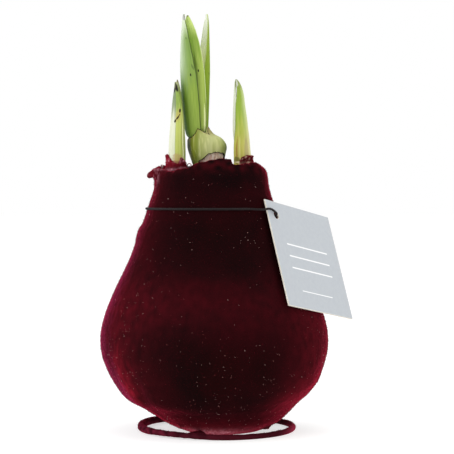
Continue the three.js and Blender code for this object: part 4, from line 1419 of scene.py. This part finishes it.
# The card.
tag = {
    "side": 44.6,
    "thickness": 0.6,
    "holeRadius": 1.6,
    "holeInset": [5.7, 5.9],
    "corner": [19.6, -15.9, 92.4],
    "turn": 56.2,
    "lean": -22.1,
    "roll": 10.9,
    "bevel": 0.07,
    "sharp": 35,  # degrees from which an edge is drawn sharp
    "around": 160,
    "rings": 24,
    # plain lines to write on, white on the grey: [across, down, length, width]
    "lines": [[8.6, 17.6, 28, 0.6], [8.6, 22.6, 28, 0.6], [8.6, 27.6, 28, 0.6], [12, 37, 21, 0.4]],
    "lineBlur": 0.05,
}


def placeOnTag(points):
    # from the card's own axes: x across, z up, y away from its front
    lean, roll, turn = (math.radians(tag[key]) for key in ("lean", "roll", "turn"))
    aboutX = np.array([[1, 0, 0], [0, math.cos(lean), -math.sin(lean)], [0, math.sin(lean), math.cos(lean)]])
    aboutY = np.array([[math.cos(roll), 0, math.sin(roll)], [0, 1, 0], [-math.sin(roll), 0, math.cos(roll)]])
    aboutZ = np.array([[math.cos(turn), -math.sin(turn), 0], [math.sin(turn), math.cos(turn), 0], [0, 0, 1]])
    return np.asarray(points, float) @ (aboutZ @ aboutX @ aboutY).T + np.array(tag["corner"], float)


def cardMaterial():
    material, tree, shader = newMaterial("greyCard")
    grain = put(tree, "ShaderNodeGroup", {"Vector": objectPlace(tree), "Scale": 2400.0}, node_tree=paperGrain)
    surface = grain.out("Fleck").mix("#b5bbc1", "#b9bfc4")
    across, down, _ = (part * tag["side"] for part in uvParts(tree, "cardMap"))

    def within(distance, size):
        return distance.maths("ABSOLUTE").spread(size / 2 + tag["lineBlur"], size / 2 - tag["lineBlur"])

    printed = None
    for left, at, length, width in tag["lines"]:
        line = within(across - (left + length / 2), length) * within(down - at, width)
        printed = line if printed is None else printed.maths("MAXIMUM", line)
    surface = (printed * pointValue(tree, "front")).mix(surface, "#f1f3f4")
    surface = (pointValue(tree, "fromCut").spread(0.5, 0.0) * 0.5).mix(surface, "#e4e3de")
    feed(shader, {"Base Color": surface, "Normal": grain.out("Height").bumps(0.15, 0.0001)})
    feed(shader, {"Roughness": 0.5, "Specular IOR Level": 0.4})
    return material


def coreMaterial():
    material, tree, shader = newMaterial("cutCard")
    grain = put(tree, "ShaderNodeGroup", {"Vector": objectPlace(tree), "Scale": 3200.0}, node_tree=paperGrain)
    surface = grain.out("Fleck").mix("#d9d2c2", "#f2eee4")
    feed(shader, {"Base Color": surface, "Normal": grain.out("Height").bumps(0.4, 0.0002), "Roughness": 0.85})
    return material


def makeTag():
    # rings of points from the hole's edge out to the card's, on both faces, joined through the hole
    side, half, bevel, count = tag["side"], tag["thickness"] / 2, tag["bevel"], tag["around"]
    across, down = tag["holeInset"]
    hole = np.array([across, -down])
    # steps towards the card's edges, with a point of the ring at each corner
    corners = np.array([[0, 0], [0, -side], [side, -side], [side, 0]]) - hole
    angle = allRound(count)
    for target in np.arctan2(corners[:, 1], corners[:, 0]) % fullTurn:
        angle[np.argmin(np.abs(angle - target))] = target
    direction = np.stack([np.cos(angle), np.sin(angle)], 1)
    toX = np.where(direction[:, 0] > 0, side - across, across) / np.maximum(np.abs(direction[:, 0]), 1e-9)
    toZ = np.where(direction[:, 1] > 0, down, side - down) / np.maximum(np.abs(direction[:, 1]), 1e-9)
    reach = np.minimum(toX, toZ)
    holeEdge = np.full(count, tag["holeRadius"])
    shares = np.linspace(0, 1, tag["rings"]) ** 1.3  # closer together by the hole
    flat = [holeEdge + bevel + (reach - bevel - holeEdge - bevel) * share for share in shares]

    # each ring is [distances from the hole's middle, depth, whether it is on a cut edge]
    rings = [[out, -half, False] for out in flat] + [[reach, bevel - half, True], [reach, half - bevel, True]]
    rings += [[out, half, False] for out in flat[::-1]]
    rings += [[holeEdge, half - bevel, True], [holeEdge, bevel - half, True]]
    rows, cut, faces, kinds = [], [], [], []
    for i, (out, depth, onCut) in enumerate(rings):
        spots = hole + direction * out[:, None]
        rows.append(np.stack([spots[:, 0], np.full(count, depth), spots[:, 1]], 1))
        cut.append(np.minimum(out - holeEdge, reach - out))
        after = (i + 1) % len(rings)
        faces += band(i * count, after * count, count)
        kinds += [int(onCut or rings[after][2])] * count
    local = np.vstack(rows)
    piece = meshPiece("hang_tag_fine", placeOnTag(local), faces)
    setUv(piece, "cardMap", np.stack([local[:, 0] / side, -local[:, 2] / side], 1))
    setPointValues(piece, "front", (local[:, 1] < 0).astype(float))
    setPointValues(piece, "fromCut", np.concatenate(cut))
    piece.data.set_sharp_from_angle(angle=math.radians(tag["sharp"]))
    finishPiece(piece, "hang_tag", "card", cardMaterial(), coreMaterial())
    piece.data.polygons.foreach_set("material_index", kinds)
    return piece


makeTag()
print("card made")


# The elastic cord.
def cordLine():
    def onNeck(degrees):
        angle = np.radians(degrees)
        off = 0.5 * bump(angle, cord["knot"], 0.1)
        return roundPoints(angle, bulbRadius(angle, cord["height"]) + cord["clear"] + off, cord["height"])

    across, down = tag["holeInset"]
    lift = tag["thickness"] / 2 + cord["overCard"]
    # over the card's edge, down its hole and out behind it, as [across, down, back]
    onCard = [
        [-2.3, 5, -lift * 0.4], [-0.2, 4.6, -lift - 0.1], [1.6, 4.5, -lift - 0.2],
        [across - 2.6, down - 0.95, -lift - 0.2], [across - 1.2, down - 0.45, -lift - 0.1],
        [across - 0.3, down - 0.15, -lift * 0.6], [across, down, 0],
        [across + 0.5, down + 0.2, lift * 0.75], [across + 1.6, down - 0.3, lift + 0.2],
        [across + 4.2, down - 2.2, lift + 0.5],
    ]
    card = placeOnTag([[x, back, -z] for x, z, back in onCard])
    front = onNeck(np.linspace(cord["knot"], cord["toCard"], cord["steps"][0]))
    back = onNeck(np.linspace(cord["fromCard"], 360 + cord["knot"], cord["steps"][1]))
    return np.vstack([front, card, back])


def knotLine(centre, size):
    # an overhand knot pulled small, lying across the cord
    t = allRound(cord["knotSteps"])
    x = (np.sin(t) + 2 * np.sin(2 * t)) / 3
    y = (np.cos(t) - 2 * np.cos(2 * t)) / 3
    z = -np.sin(3 * t) * 0.5
    angle = math.radians(cord["knot"])
    side = np.array([-math.sin(angle), math.cos(angle), 0])
    out = np.array([math.cos(angle), math.sin(angle), 0])
    return centre + size * (x[:, None] * side + y[:, None] * np.array([0, 0, 1]) + z[:, None] * out)


def elasticMaterial():
    material, tree, shader = newMaterial("blackElastic")
    thread = objectPlace(tree).noise(2600.0, 3.0, 0.7)
    surface = thread.ramp([(0.35, "#0c0607"), (0.6, "#1a0f10"), (0.8, "#4a3638")])
    feed(shader, {"Base Color": surface, "Normal": thread.bumps(0.6, 0.0002), "Roughness": 0.75})
    feed(shader, {"Sheen Weight": 0.05, "Specular IOR Level": 0.25})
    return material


def makeCord():
    line = cordLine()
    start = line[0]
    lines = [(easyCurve(line, cord["lineSteps"]), 1, False), (knotLine(start, cord["knotSize"]), 0.8, True)]
    for tail in cord["tails"]:
        end = start + np.array(tail, float)
        middle = start + (end - start) / 2 + np.array(cord["tailBow"])
        tail = easyCurve([start, middle, end], cord["lineSteps"])
        lines.append((tail, np.linspace(1, 0.9, len(tail)), False))
    material = elasticMaterial()
    piece = strandPiece("elastic_cord_fine", lines, {**cord["strand"], "Finish": material})
    print("elastic cord:", len(piece.data.polygons), "faces")
    return finishPiece(piece, "elastic_cord", "elastic", material)


makeCord()

print("all pieces made")
